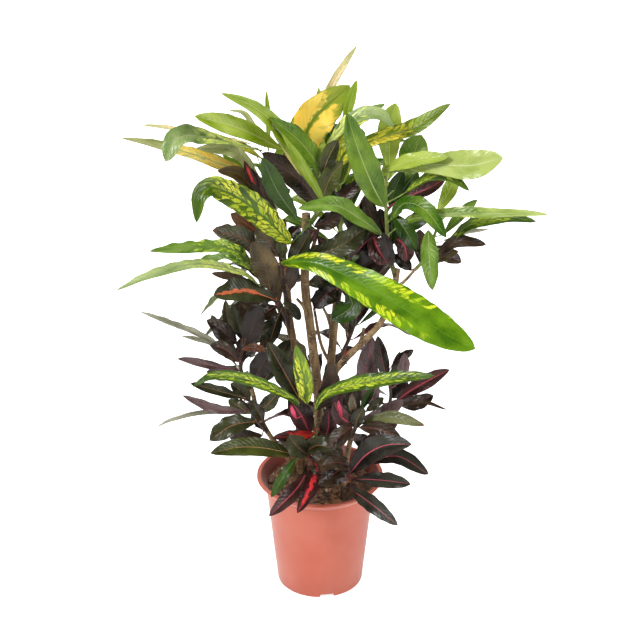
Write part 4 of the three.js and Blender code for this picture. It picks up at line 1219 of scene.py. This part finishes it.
leafForm = {
    "grids": ((0.10, 8, 18), (0.19, 8, 26), (1, 10, 44)),  # up to a length: faces across and along
    "rootFrom": 0.016,
    "rootLag": 0.6,
    "rootEnd": 0.001,
    "fold": math.radians(14),
    "bulge": 0.45,  # how far each half arches up between midrib and margin
    "waves": 2.2,
    "waveHeight": 0.075,  # shares of the blade's width
    "waveShift": 1.4,  # from one half of the blade to the other
    "rippleEvery": 0.027,
    "fewestRipples": 3.5,
    "rippleHeight": 0.05,
    "rippleFade": 2.5,
    "rippleSway": (0.02, 9),
    "rippleSpread": (0.85, 1.2),
    "rippleShift": (0, 6.28),
    "strengthSpread": (0.5, 1.5),
    "scallop": 0.05,
    "twist": math.radians(16),
    "thickness": 0.0007,
    "petiole": 0.0013,
    "petioleWidth": (0.45, 14),  # its share for a very narrow blade, and more per metre of width
    "tipWidth": 0.0005,
    "shortStalk": 0.002,
    "ribAt": (0, 0.12, 0.3, 0.5, 0.7, 0.9),
    "ribSink": 0.7,
    "ribRise": 0.6,
    "ribSwell": 0.35,
    "swellFade": 3,
    "leastStalk": 0.05,
    "ribTaper": 0.8,
    "ribCuts": 12,
    "ribSides": 6,
    "ribUv": (0.5, 0.4),
    "veinEvery": 0.0095,
    "veinLean": (0.5, 0.45),
    "coreSides": 10,
    "coreRingEvery": 0.007,
    "fewestCoreRings": 5,
    "coreSeed": 20,
    "phaseStep": 1.7,
    "underShare": 0.35,
    "underRough": 0.2,
    "roughVary": 0.16,
    "bumpDepth": 0.0011,
    "specular": 0.42,
    "seed": 77,
}

# What a look leaves unsaid. Blotches lie across from midrib 0 to margin 1 and along from base 0 to
# tip 1; cover is how many of the cells between the veins take the colour, and cells is how clearly
# the veins part them. ribVary is how much fainter some leaves' midribs are, and paler how much the
# blade pales towards its tip.
plainLook = {
    "veinShare": 0.3,
    "edgeShare": 0.4,
    "blotch": ("c4cc34", "a6b434"),
    "across": (0.2, 0.9),
    "along": (0.0, 0.8),
    "cover": 0.0,
    "cells": 1.0,
    "spacing": 1.0,
    "ragged": 1.0,
    "ribWidth": 0.05,
    "ribVary": 0.3,
    "glow": 0.0,
    "tip": 0.0,
    "rough": 0.22,
    "bump": 0.7,
    "paler": 0.0,
    "ripple": 0.85,
    "fullness": 0.62,
}
# Blade is its dark and its pale tone, edge its margin and under its underside.
looks = {
    # Lime: the leaf's own yellow-green, made brighter as painted light standing in for light shining
    # through the thin blade.
    "lime": {
        "blade": ("749008", "a8ba4c"), "rib": "c0c878", "vein": "a8b44c", "edge": "74882c",
        "under": "98a65c",
        "ripple": 0.6, "bump": 0.45,
    },
    "fresh": {
        "blade": ("2c5402", "7c9a26"), "rib": "a8bc68", "vein": "84a040", "edge": "48661c",
        "under": "86985a",
        "ripple": 0.6,
    },
    "deep": {
        "blade": ("0e2a01", "385604"), "rib": "748a4a", "vein": "4c6a24", "edge": "2a4612",
        "under": "6c7e50",
        "ripple": 0.7, "bump": 0.4, "rough": 0.28,
    },
    "matte": {
        "blade": ("4c6c08", "88a848"), "rib": "b0bc7c", "vein": "88a054", "edge": "5c7434",
        "under": "8c9a6c",
        "ripple": 0.5,
    },
    "sage": {
        "blade": ("808a48", "b4ba7c"), "rib": "b8b080", "vein": "a4a464", "edge": "747440",
        "under": "a8a880",
        "paler": 0.3,
    },
    "long": {
        "blade": ("5c7c0c", "acbc64"), "rib": "ccd4a0", "vein": "b4c070", "edge": "8ca044",
        "under": "a8b484",
        "blotch": ("d4d88c", "c8d078"), "cover": 0.2, "across": (0.3, 0.9), "along": (0.0, 0.6),
        "paler": 0.9, "ripple": 0.25, "bump": 0.35, "fullness": 0.45,
    },
    "grey": {
        "blade": ("605e46", "b4b49c"), "rib": "b4b09c", "vein": "8a8870", "edge": "6c6654",
        "under": "a09c8c",
        "paler": 0.3,
    },
    "cream": {
        "blade": ("9ca050", "c8c48c"), "rib": "dcd498", "vein": "c4c080", "edge": "8c9450",
        "under": "c4c090",
        "blotch": ("ecd080", "e4c8a4"), "cover": 0.6, "cells": 0.2, "across": (0.0, 0.7),
    },
    "blotched": {
        "blade": ("445c04", "7c8c1c"), "rib": "c0c878", "vein": "5c701c", "edge": "5c741c",
        "under": "98a05c",
        "blotch": ("e4e03c", "bcc43c"), "cover": 0.72, "cells": 0.7, "across": (0.06, 0.95),
        "spacing": 0.9,
    },
    "banded": {
        "blade": ("445c04", "7c9420"), "rib": "c0c878", "vein": "5c701c", "edge": "5c741c",
        "under": "98a05c",
        "blotch": ("ecd838", "bcc43c"), "cover": 0.86, "cells": 0.6, "across": (0.06, 0.95),
        "along": (-0.1, 0.6),
    },
    "golden": {
        "blade": ("6c8814", "96a030"), "rib": "6c7c1c", "vein": "c8b440", "edge": "6c8424",
        "under": "a8a050",
        "blotch": ("f8dc5c", "f2b840"), "cover": 1.0, "across": (0.13, 0.93), "along": (-0.2, 0.76),
        "cells": 0.06, "ribWidth": 0.11, "ribVary": 0.0, "ripple": 0.4, "bump": 0.3,
    },
    "amber": {
        "blade": ("8a9450", "cccc94"), "rib": "9c985c", "vein": "b0a450", "edge": "848c4c",
        "under": "a89c64",
        "blotch": ("f0c43c", "e4d478"), "cover": 0.95, "across": (0.05, 0.95), "along": (-0.2, 0.6),
        "cells": 0.25,
    },
    "celled": {
        "blade": ("264002", "708c28"), "rib": "4c7420", "vein": "284804", "edge": "4c6c14",
        "under": "8a9a58",
        "blotch": ("e0e440", "a4b828"), "cover": 0.88, "across": (0.05, 0.97), "along": (-0.1, 0.74),
        "veinShare": 0.6, "cells": 0.95, "spacing": 0.62, "ribWidth": 0.07, "ribVary": 0.0,
        "paler": 0.4,
    },
    "edged": {
        "blade": ("3c6400", "78a206"), "rib": "5c8c10", "vein": "7c9a14", "edge": "5c880c",
        "under": "8c9c54",
        "blotch": ("dce02c", "a8c81c"), "cover": 0.64, "across": (0.5, 0.96), "along": (-0.1, 0.72),
        "veinShare": 0.05, "cells": 0.9, "ribWidth": 0.03, "ribVary": 0.0, "fullness": 0.33,
        "bump": 0.25, "ripple": 0.35,
    },
    "striped": {
        "blade": ("223e02", "5a7820"), "rib": "a8b868", "vein": "4c6c10", "edge": "506820",
        "under": "8a9658",
        "blotch": ("c8d83c", "98b02c"), "cover": 0.74, "across": (0.04, 0.62), "along": (0.0, 0.82),
        "cells": 0.95,
        "spacing": 0.75,
    },
    "spotted": {
        "blade": ("2c5802", "708c34"), "rib": "90a468", "vein": "50741c", "edge": "54742c",
        "under": "84946c",
        "blotch": ("c0d448", "98b03c"), "cover": 0.55, "across": (0.2, 0.98), "along": (-0.1, 0.6),
        "cells": 0.9,
        "spacing": 1.3, "paler": 0.5, "ripple": 1.2,
    },
    "arching": {
        "blade": ("4c7024", "a4b474"), "rib": "b8bc94", "vein": "7c9050", "edge": "748c4c",
        "under": "a0ac84",
        "blotch": ("e8f088", "ccdc58"), "cover": 0.85, "across": (0.1, 0.92), "along": (0.05, 0.5),
        "cells": 0.5,
        "paler": 0.1,
    },
    "dried": {
        "blade": ("34341c", "74784a"), "rib": "8c8c60", "vein": "6c7440", "edge": "5c4c34",
        "under": "84845c",
        "tip": 1.0,
    },
    "olive": {
        "blade": ("1e2203", "525820"), "rib": "b08858", "vein": "4c4c20", "edge": "34340e",
        "under": "645c40",
        "ribVary": 0.5,
    },
    "umber": {
        "blade": ("30240a", "6c5830"), "rib": "8c6848", "vein": "544430", "edge": "34281a",
        "under": "64503c",
        "ribVary": 0.7,
    },
    "sheen": {
        "blade": ("342c1c", "706850"), "rib": "a86458", "vein": "605440", "edge": "3c3428",
        "under": "645048",
        "rough": 0.18, "ribVary": 0.6,
    },
    "veined": {
        "blade": ("30281c", "6c6c58"), "rib": "a85048", "vein": "8c9084", "edge": "843c30",
        "under": "7c3c38",
        "veinShare": 0.75, "edgeShare": 0.9, "tip": 0.6, "rough": 0.18,
    },
    "dusk": {
        "blade": ("141606", "484a2c"), "rib": "ac704c", "vein": "32341c", "edge": "1c1c0e",
        "under": "544238",
        "bump": 0.5, "ribVary": 0.7,
    },
    "night": {
        "blade": ("0a0604", "26180e"), "rib": "803c34", "vein": "221c12", "edge": "0e0a08",
        "under": "382824",
        "rough": 0.3, "bump": 0.35, "ribVary": 0.8,
    },
    "plum": {
        "blade": ("160c05", "483828"), "rib": "944444", "vein": "30241e", "edge": "1a100c",
        "under": "4e3636",
        "bump": 0.55, "ribVary": 0.8,
    },
    "mauve": {
        "blade": ("402c2c", "806868"), "rib": "b06068", "vein": "6c5454", "edge": "4a3430",
        "under": "745656",
        "rough": 0.2, "ribVary": 0.5,
    },
    "maroon": {
        "blade": ("180805", "543430"), "rib": "cc5464", "vein": "4c2024", "edge": "241010",
        "under": "5c3438",
        "glow": 0.25, "ribWidth": 0.075, "ribVary": 0.4, "veinShare": 0.5,
    },
    "inky": {
        "blade": ("120f0a", "3c3c30"), "rib": "c05060", "vein": "2a2420", "edge": "4c1c26",
        "under": "5c2c38",
        "bump": 0.35, "ribWidth": 0.07, "edgeShare": 0.8, "rough": 0.3,
    },
    "rosy": {
        "blade": ("1c0806", "442020"), "rib": "f05c78", "vein": "702430", "edge": "301016",
        "under": "5c2c32",
        "blotch": ("f4587c", "d83c58"), "cover": 1.0, "across": (-0.1, 0.85), "along": (-0.1, 0.9),
        "cells": 0.3,
        "ribVary": 0.0,
    },
    "crimson": {
        "blade": ("100604", "2c1410"), "rib": "c4242c", "vein": "401416", "edge": "1c0a0a",
        "under": "502830",
        "blotch": ("c42030", "8c1e26"), "cover": 0.8, "across": (0.0, 0.6), "along": (0.1, 0.8),
        "cells": 0.3,
        "glow": 0.4,
    },
    "ember": {
        "blade": ("1c0806", "442020"), "rib": "e43c40", "vein": "501a1c", "edge": "240c0c",
        "under": "5c2c32",
        "blotch": ("e84038", "c42838"), "cover": 0.85, "across": (-0.1, 0.32), "along": (0.0, 0.85),
        "cells": 0.3,
        "glow": 0.5, "ribWidth": 0.08, "ribVary": 0.0, "spacing": 1.4, "ragged": 0.35,
    },
    "blaze": {
        "blade": ("1c0806", "442020"), "rib": "f05038", "vein": "702420", "edge": "240c0c",
        "under": "5c2c32",
        "blotch": ("f8482c", "dc3030"), "cover": 0.95, "across": (-0.1, 0.8), "along": (-0.1, 0.55),
        "cells": 0.3,
        "ribVary": 0.0,
    },
    "flame": {
        "blade": ("1c2008", "484c2c"), "rib": "e4744c", "vein": "34341a", "edge": "201c0e",
        "under": "4c3c34",
        "blotch": ("f08454", "d06438"), "cover": 0.9, "across": (-0.1, 0.17), "along": (0.3, 0.92),
        "cells": 0.4,
        "ribWidth": 0.07, "ribVary": 0.0, "spacing": 1.6, "ragged": 0.55,
    },
    "rust": {
        "blade": ("482818", "7c5c40"), "rib": "bc5c40", "vein": "603828", "edge": "443024",
        "under": "6c4438",
    },
}
looks = {name: plainLook | settings for name, settings in looks.items()}
dryTip = tint("7a5644")


# The blade's width at t along the midrib, as a share of its greatest width. A lower fullness makes
# the half towards the stalk broader.
def outline(t, widest, fullness):
    skew = math.log(0.5) / math.log(widest / 100)
    power = fullness if t < widest / 100 else plainLook["fullness"]
    return max(0, math.sin(math.pi * t**skew)) ** power


# The nearest point of a line of points to a place, taken a little further down it, where a leaf
# that leans outwards leaves the stem.
def rootOn(line, target):
    best = (math.inf, 0)
    travelled = 0
    for start, end in zip(line, line[1:]):
        step = end - start
        share = min(max(step.dot(target - start) / step.length_squared, 0), 1)
        away = (start + share * step - target).length
        best = min(best, (away, travelled + step.length * share))
        travelled += step.length
    left = max(best[1] - leafForm["rootLag"] * best[0], leafForm["rootFrom"])
    left = min(left, travelled - leafForm["rootEnd"])
    for start, end in zip(line, line[1:]):
        if left <= (end - start).length:
            return start.lerp(end, left / (end - start).length)
        left -= (end - start).length
    return line[-1].copy()


def modelBlade(across, along):
    deselect()
    bpy.ops.mesh.primitive_grid_add(
        x_subdivisions=across, y_subdivisions=along, size=1, calc_uvs=True
    )
    return bpy.context.object


bladeTemplates = [modelBlade(across, along) for upTo, across, along in leafForm["grids"]]
ribTemplate = modelTube(leafForm["ribSides"], leafForm["ribCuts"])


# Facts that the leaf's material reads: a draw of its own, its number of side veins, and how far
# those lean towards the tip.
def noteFacts(mesh, facts):
    layer = mesh.attributes.new("leafFacts", "FLOAT_VECTOR", "POINT")
    for value in layer.data:
        value.vector = facts


# Lays a flat grid along a midrib: folded, waved, rippled at the margin and a little twisted.
def layBlade(leaf, length, walk, start, phase, draw):
    grid = next(k for k, (upTo, *faces) in enumerate(leafForm["grids"]) if length <= upTo)
    blade = copyOf(bladeTemplates[grid])
    look = looks[leaf["look"]]
    ripples = max(leafForm["fewestRipples"], length / leafForm["rippleEvery"])
    ripples *= draw(*leafForm["rippleSpread"])
    strength = draw(*leafForm["strengthSpread"]) * look["ripple"]
    shift = [draw(*leafForm["rippleShift"]) for side in range(2)]
    twist = leafForm["twist"] * draw(-1, 1)
    sway, swayPace = leafForm["rippleSway"]
    rows = {}
    for vertex in blade.data.vertices:
        s, t = 2 * vertex.co.x, round(vertex.co.y + 0.5, 5)
        if t not in rows:
            centre, forward = walk(t)
            across, out = bladeFrame(start if t == 0 else forward, leaf["face"])
            turned = math.cos(twist * t) * across + math.sin(twist * t) * out
            width = leaf["width"] * outline(t, leaf["widest"], look["fullness"])
            rows[t] = (centre, turned, turned.cross(forward), width)
        centre, across, out, full = rows[t]
        half = max(0.5 * full, leafForm["petiole"] * (1 - t) + leafForm["tipWidth"] * t)
        turn = fullTurn * leafForm["waves"] * t + phase
        wave = math.sin(turn if s < 0 else turn + leafForm["waveShift"])
        swayed = t + sway * math.sin(swayPace * t + phase)
        ripple = math.sin(fullTurn * ripples * swayed + shift[s > 0])
        flat = abs(s)
        fold = half * math.sin(leafForm["fold"]) * flat * (1 + leafForm["bulge"] * (1 - flat))
        rise = fold + leafForm["waveHeight"] * full * wave * s * s
        rise += strength * leafForm["rippleHeight"] * full * ripple * flat ** leafForm["rippleFade"]
        side = half * math.cos(leafForm["fold"]) * s
        side *= 1 + leafForm["scallop"] * strength * ripple * flat
        vertex.co = centre + side * across + rise * out
    return blade


# The petiole and the midrib's ridge under the blade, as one tapering rib.
def layRib(leaf, walk, root, size):
    rib = copyOf(ribTemplate)
    places = [root]
    for share in leafForm["ribAt"]:
        centre, forward = walk(share)
        out = bladeFrame(forward, leaf["face"])[1]
        sink = leafForm["ribSink"] * size * (1 - leafForm["ribRise"] * share)
        places.append(centre - sink * out)
    ribWalk, ribLength = curveThrough(places)
    stalk = (places[1] - root).length / ribLength

    def radiusAt(share, turn):
        along = max(0, (share - stalk) / (1 - stalk))
        beyond = share / max(stalk, leafForm["leastStalk"]) * leafForm["swellFade"]
        swell = leafForm["ribSwell"] * max(0, 1 - beyond)
        return size * (1 + swell - leafForm["ribTaper"] * along)

    layTube(rib, ribWalk, leaf["face"], radiusAt)
    layer = rib.data.uv_layers.active or rib.data.uv_layers.new(name="UVMap")
    for loop in rib.data.loops:
        layer.data[loop.index].uv = leafForm["ribUv"]
    return rib


def growLeaf(leaf, line, phase, draw):
    walk, length = curveThrough(leaf["path"])
    root = rootOn(line, leaf["path"][0])
    start = walk(0)[1]
    stalk = leaf["path"][0] - root
    stalkWay = stalk.normalized() if stalk.length > leafForm["shortStalk"] else start
    blade = layBlade(leaf, length, walk, (start + stalkWay).normalized(), phase, draw)
    least, more = leafForm["petioleWidth"]
    rib = layRib(leaf, walk, root, leafForm["petiole"] * min(1, least + leaf["width"] * more))
    lean, leanMore = leafForm["veinLean"]
    lean += leanMore * leaf["width"] / leafForm["veinEvery"]
    facts = (draw(0, 1), length / leafForm["veinEvery"], lean)
    for part in (blade, rib):
        noteFacts(part.data, facts)
        dress(part, "leaf_" + leaf["look"])
    return blade, rib


def growCore(line, radii, number, skin):
    walk, length = curveThrough(line)
    rings = max(leafForm["fewestCoreRings"], round(length / leafForm["coreRingEvery"]))
    tube = modelTube(leafForm["coreSides"], rings)
    layTube(tube, walk, towardsViewer, barkRadius(radii, length, leafForm["coreSeed"] + number))
    dress(tube, skin)
    return tube


# Solidify puts the lower faces of all blades after the upper ones and before the rims.
def markUnderside(blades, count):
    under = blades.data.attributes.new("underside", "FLOAT", "FACE")
    for k, value in enumerate(under.data):
        value.value = 1 if count <= k < 2 * count else 0


def tracedLeaves(shoot):
    leaves = []
    for look, width, tilt, widest, *path in shoot["leaves"]:
        lean = math.radians(tilt)
        leaves.append({
            "look": look,
            "width": mm(width),
            "widest": widest,
            "face": Vector((0, -math.sin(lean), math.cos(lean))),
            "path": placesOf(path),
        })
    return leaves


def ruledLeaves(shoot, line, seed):
    draw = makeDraw(seed)
    walk = curveThrough(line)[0]
    leaves = []
    for i in range(shoot["count"]):
        share = i / (shoot["count"] - 1)
        base = walk(backRule["from"] + backRule["over"] * share)[0]
        stray = backRule["spiralStray"]
        spread = (i * backRule["spiral"] + draw(-stray, stray) + 1) % 1
        turn = math.radians(shoot["arc"][0] + (shoot["arc"][1] - shoot["arc"][0]) * spread)
        low, high = shoot["rise"]
        stray = backRule["riseStray"]
        rise = math.radians(low + (high - low) * share + draw(-stray, stray))
        fall = rise - math.radians(shoot["droop"] * draw(*backRule["droopSpread"]))
        length = mm(draw(*shoot["length"])) * (1 - backRule["topShorter"] * share)
        outward = Vector((math.cos(turn), math.sin(turn), 0))

        def step(angle, far):
            return far * math.cos(angle) * outward + far * math.sin(angle) * upward

        foot = base + step(rise, backRule["stalk"])
        bend = foot + step(rise, length * 0.5)
        leaves.append({
            "look": shoot["looks"][i % len(shoot["looks"])],
            "width": mm(draw(*shoot["width"])),
            "widest": backRule["widest"],
            "face": upward,
            "path": [foot, bend, bend + step(fall, length * 0.5)],
        })
    return leaves


def growShoot(name, shoot, line, leaves, number):
    draw = makeDraw(leafForm["seed"] + number)
    grown = [growLeaf(leaf, line, leafForm["phaseStep"] * i, draw) for i, leaf in enumerate(leaves)]
    blades = joinAll([blade for blade, rib in grown], "blades")
    count = len(blades.data.polygons)
    applyModifier(blades, "SOLIDIFY", thickness=leafForm["thickness"], offset=0)
    markUnderside(blades, count)
    skin = "greenStem" if shoot["slot"] in ("leaf_green", "leaf_yellow") else "darkStem"
    core = growCore(line, shoot["radii"], number, shoot.get("stem", skin))
    piece = joinAll([blades, core, *[rib for blade, rib in grown]], name.replace("shoot", "leaves"))
    finishPiece(piece, shoot["slot"], name, 50)


# Masks over one blade, from its UV map and its facts: midrib, side veins, the blotches between
# them, the margin, a soft cloud, fine specks, the tip, and the height of it all.
def buildBladePattern():
    levels = ("Inner", "Outer", "From", "To", "Cover", "Cells", "Rib Width", "Spacing", "Ragged")
    inputs = {"Blade": "Vector", "Facts": "Vector"} | {label: "Float" for label in levels}
    masks = ("Rib", "Glow", "Veins", "Blotch", "Edge", "Cloud", "Speck", "Tip", "Height")
    group, start, end = newGroup("bladePattern", inputs, {label: "Float" for label in masks})

    def reckon(operation, *values):
        return calc(group, operation, *values)

    def times(first, second):
        return reckon("MULTIPLY", first, second)

    def oneMinus(value):
        return reckon("SUBTRACT", 1.0, value)

    def between(value, middle, blur):
        return fade(group, value, reckon("SUBTRACT", middle, blur), reckon("ADD", middle, blur))

    def grain(x, y, detail):
        spot = addNode(group, "CombineXYZ", {"X": x, "Y": y, "Z": far}).outputs[0]
        feeds = {"Vector": spot, "Scale": 1.0, "Detail": detail}
        return addNode(group, "TexNoise", feeds).outputs[0]

    def cellular(feature):
        feeds = {"Vector": cellSpot, "Scale": 1.0, "Randomness": 0.85}
        settings = {"voronoi_dimensions": "2D", "feature": feature}
        return addNode(group, "TexVoronoi", feeds, **settings).outputs

    u, v = addNode(group, "SeparateXYZ", {0: start["Blade"]}).outputs[:2]
    seed, veins, lean = addNode(group, "SeparateXYZ", {0: start["Facts"]}).outputs
    far = times(seed, 57.0)
    side = reckon("SUBTRACT", u, 0.5)
    half = reckon("GREATER_THAN", side, 0.0)
    s = times(reckon("ABSOLUTE", side), 2.0)  # 0 on the midrib, 1 at the margin
    along = times(times(v, veins), start["Spacing"])
    cloud = grain(times(u, 1.8), times(along, 0.2), 2.0)
    speck = grain(times(u, 16.0), times(along, 2.4), 3.0)
    wobble = reckon("SUBTRACT", grain(times(u, 5.0), along, 2.0), 0.5)

    # Side veins, and a colour and a border for each cell between them.
    line = reckon("MULTIPLY_ADD", half, 0.5, reckon("SUBTRACT", along, times(s, lean)))
    line = reckon("MULTIPLY_ADD", wobble, 1.1, line)
    nearVein = times(reckon("ABSOLUTE", reckon("SUBTRACT", reckon("FRACT", line), 0.5)), 2.0)
    across = reckon("ADD", times(s, 2.3), reckon("MULTIPLY_ADD", half, 13.0, far))
    cellSpot = addNode(group, "CombineXYZ", {"X": across, "Y": line}).outputs[0]
    drawn = addNode(group, "SeparateXYZ", {0: cellular("F1")["Color"]}).outputs
    borders = cellular("DISTANCE_TO_EDGE")["Distance"]

    # Blotches fill some of the cells, inside a zone with ragged ends.
    stray = times(reckon("SUBTRACT", drawn["X"], 0.5), 0.22)
    stray = times(reckon("MULTIPLY_ADD", wobble, 0.25, stray), start["Ragged"])
    sideways = reckon("ADD", s, stray)
    lengthways = reckon("ADD", v, stray)
    inside = between(sideways, start["Inner"], 0.06)
    outside = oneMinus(between(sideways, start["Outer"], 0.06))
    begun = between(lengthways, start["From"], 0.05)
    ended = oneMinus(between(lengthways, start["To"], 0.07))
    zone = times(times(inside, outside), times(begun, ended))
    body = times(fade(group, nearVein, 0.98, 0.7), fade(group, borders, 0.02, 0.13))
    celled = oneMinus(times(start["Cells"], oneMinus(body)))
    covered = oneMinus(between(drawn["Y"], start["Cover"], 0.06))

    # The midrib narrows towards the tip and flares at the base.
    taper = oneMinus(times(v, 0.5))
    flare = reckon("MULTIPLY_ADD", reckon("POWER", oneMinus(v), 6.0), 1.6, 1.0)
    ribWidth = times(start["Rib Width"], times(taper, flare))
    rib = fade(group, s, times(ribWidth, 1.25), times(ribWidth, 0.6))
    quilt = oneMinus(reckon("POWER", nearVein, 3.0))
    height = reckon("MULTIPLY_ADD", quilt, 0.5, times(rib, -0.7))
    results = {
        "Rib": rib,
        "Glow": fade(group, s, times(ribWidth, 4.5), 0.0),
        "Veins": times(fade(group, nearVein, 0.88, 0.99), fade(group, s, 1.0, 0.8)),
        "Blotch": times(zone, times(celled, covered)),
        "Edge": fade(group, s, 0.9, 1.0),
        "Cloud": cloud,
        "Speck": speck,
        "Tip": fade(group, reckon("ADD", v, times(wobble, 0.12)), 0.91, 0.97),
        "Height": reckon("MULTIPLY_ADD", speck, 0.5, height),
    }
    for label, value in results.items():
        group.links.new(value, end[label])
    return group


bladePattern = buildBladePattern()


def leafMaterial(name, look):
    tree, shader = newMaterial("leaf_" + name)
    ribTint = tint(look["rib"])
    blade = addNode(tree, "UVMap", {}, uv_map="UVMap").outputs[0]
    facts = addNode(tree, "Attribute", {}, attribute_name="leafFacts").outputs["Vector"]
    underside = addNode(tree, "Attribute", {}, attribute_name="underside").outputs["Fac"]
    masks = useGroup(tree, bladePattern, {
        "Blade": blade,
        "Facts": facts,
        "Inner": look["across"][0],
        "Outer": look["across"][1],
        "From": look["along"][0],
        "To": look["along"][1],
        "Cover": look["cover"],
        "Cells": look["cells"],
        "Rib Width": look["ribWidth"],
        "Spacing": look["spacing"],
        "Ragged": look["ragged"],
    })

    def laid(share, under, over):
        return mixColor(tree, share, under, over)

    def times(first, second):
        return calc(tree, "MULTIPLY", first, second)

    def shifted(value, factor, offset):
        return calc(tree, "MULTIPLY_ADD", value, factor, offset)

    seed = addNode(tree, "SeparateXYZ", {0: facts}).outputs["X"]
    v = addNode(tree, "SeparateXYZ", {0: blade}).outputs["Y"]
    strength = shifted(calc(tree, "FRACT", times(seed, 7.3)), -look["ribVary"], 1.0)
    rib = times(masks["Rib"], strength)
    tipward = shifted(v, look["paler"], -0.5 * look["paler"])
    dapple = shifted(masks["Speck"], 0.5, shifted(masks["Cloud"], 2.2, -1.13))
    tone = calc(tree, "ADD", dapple, tipward)
    toned = calc(tree, "MULTIPLY_ADD", seed, 0.5, tone, clamp=True)
    color = laid(toned, *map(tint, look["blade"]))
    color = laid(times(masks["Veins"], look["veinShare"]), color, tint(look["vein"]))
    color = laid(times(masks["Edge"], look["edgeShare"]), color, tint(look["edge"]))
    if look["cover"] > 0:
        blotch = laid(patchy(tree, masks["Cloud"]), *map(tint, look["blotch"]))
        color = laid(masks["Blotch"], color, blotch)
    if look["glow"] > 0:
        color = laid(times(times(masks["Glow"], strength), look["glow"]), color, ribTint)
    color = laid(rib, color, ribTint)
    if look["tip"] > 0:
        color = laid(times(masks["Tip"], look["tip"]), color, dryTip)
    under = laid(rib, laid(leafForm["underShare"], tint(look["under"]), color), ribTint)
    rough = shifted(masks["Cloud"], leafForm["roughVary"], look["rough"])
    coat(tree, shader, (masks["Height"], look["bump"], leafForm["bumpDepth"]), {
        "Base Color": laid(underside, color, under),
        "Roughness": shifted(underside, leafForm["underRough"], rough),
        "Specular IOR Level": leafForm["specular"],
    })


for name, look in looks.items():
    leafMaterial(name, look)
barkMaterial("greenStem", "5c6a30", "8a9a4c", "9a9464", 0.45)
barkMaterial("darkStem", "2f2622", "57443a", "6f5848", 0.5)
print("leaf colours mixed")

for number, (name, shoot) in enumerate(shoots.items()):
    line = placesOf(shoot["core"])
    growShoot(name, shoot, line, tracedLeaves(shoot), number)
for number, (name, shoot) in enumerate(backShoots.items()):
    line = placesOf(shoot["core"])
    leaves = ruledLeaves(shoot, line, backRule["seed"] + number)
    growShoot(name, shoot, line, leaves, backRule["number"] + number)
for template in (*bladeTemplates, ribTemplate):
    bpy.data.objects.remove(template)
print("leaves grown")


# The studio: a wide pale floor, soft lights and a sky that looks different to each kind of ray.
studio = {
    "floor": 18,
    "floorColor": (0.92, 0.92, 0.92, 1),
    "floorRough": 0.9,
    "floorGlow": 0.7,  # what the camera sees on top, so that the floor stays pale far off
    "white": (1, 1, 1, 1),
    "sky": 0.24,  # what lights the plant
    "skySeen": 1.0,  # what the camera sees past the floor
    "skyMirrored": 0.03,  # what the gloss of the leaves sees
    "lights": {
        "overhead": {"energy": 84, "size": 5, "place": (0, 0.6, 4.2), "aim": (0, 0.6, 0)},
        "backdrop": {"energy": 330, "size": 5, "place": (0, 5.2, 3.6), "aim": (0, 6.0, 0)},
        "key": {"energy": 84, "size": 0.9, "place": (-2.1, -1.7, 2.6), "aim": (0, 0, 0.5)},
        "fill": {"energy": 44, "size": 1.4, "place": (2.2, -2.1, 1.7), "aim": (0, 0, 0.4)},
        "rim": {"energy": 20, "size": 1.2, "place": (-1.0, 2.6, 2.7), "aim": (0, 0, 0.5)},
    },
    "unmirrored": ("overhead", "backdrop"),  # these would veil the gloss of the leaves
}


def layFloor():
    deselect()
    bpy.ops.mesh.primitive_plane_add(size=studio["floor"])
    floor = bpy.context.object
    floor.name = "floor"
    tree, shader = newMaterial("paleFloor")
    seen = tree.nodes.new("ShaderNodeLightPath").outputs["Is Camera Ray"]
    feed(tree, shader, {
        "Base Color": studio["floorColor"],
        "Roughness": studio["floorRough"],
        "Emission Color": studio["white"],
        "Emission Strength": calc(tree, "MULTIPLY", seen, studio["floorGlow"]),
    })
    dress(floor, "paleFloor")


def hangLight(name, light):
    data = bpy.data.lights.new(name, "AREA")
    data.energy = light["energy"]
    data.size = light["size"]
    lamp = bpy.data.objects.new(name, data)
    lamp.location = light["place"]
    aim = Vector(light["aim"]) - Vector(light["place"])
    lamp.rotation_euler = aim.to_track_quat("-Z", "Y").to_euler()
    lamp.visible_glossy = name not in studio["unmirrored"]
    bpy.context.scene.collection.objects.link(lamp)


def setSky():
    world = bpy.data.worlds.new("studio")
    world.use_nodes = True
    tree = world.node_tree
    rays = tree.nodes.new("ShaderNodeLightPath").outputs
    lit = fade(tree, rays["Is Glossy Ray"], 0, 1, studio["sky"], studio["skyMirrored"])
    strength = fade(tree, rays["Is Camera Ray"], 0, 1, lit, studio["skySeen"])
    feed(tree, tree.nodes["Background"], {"Color": studio["white"], "Strength": strength})
    bpy.context.scene.world = world
    bpy.context.scene.view_settings.view_transform = "Standard"


layFloor()
for name, light in studio["lights"].items():
    hangLight(name, light)
setSky()
print("studio lit")
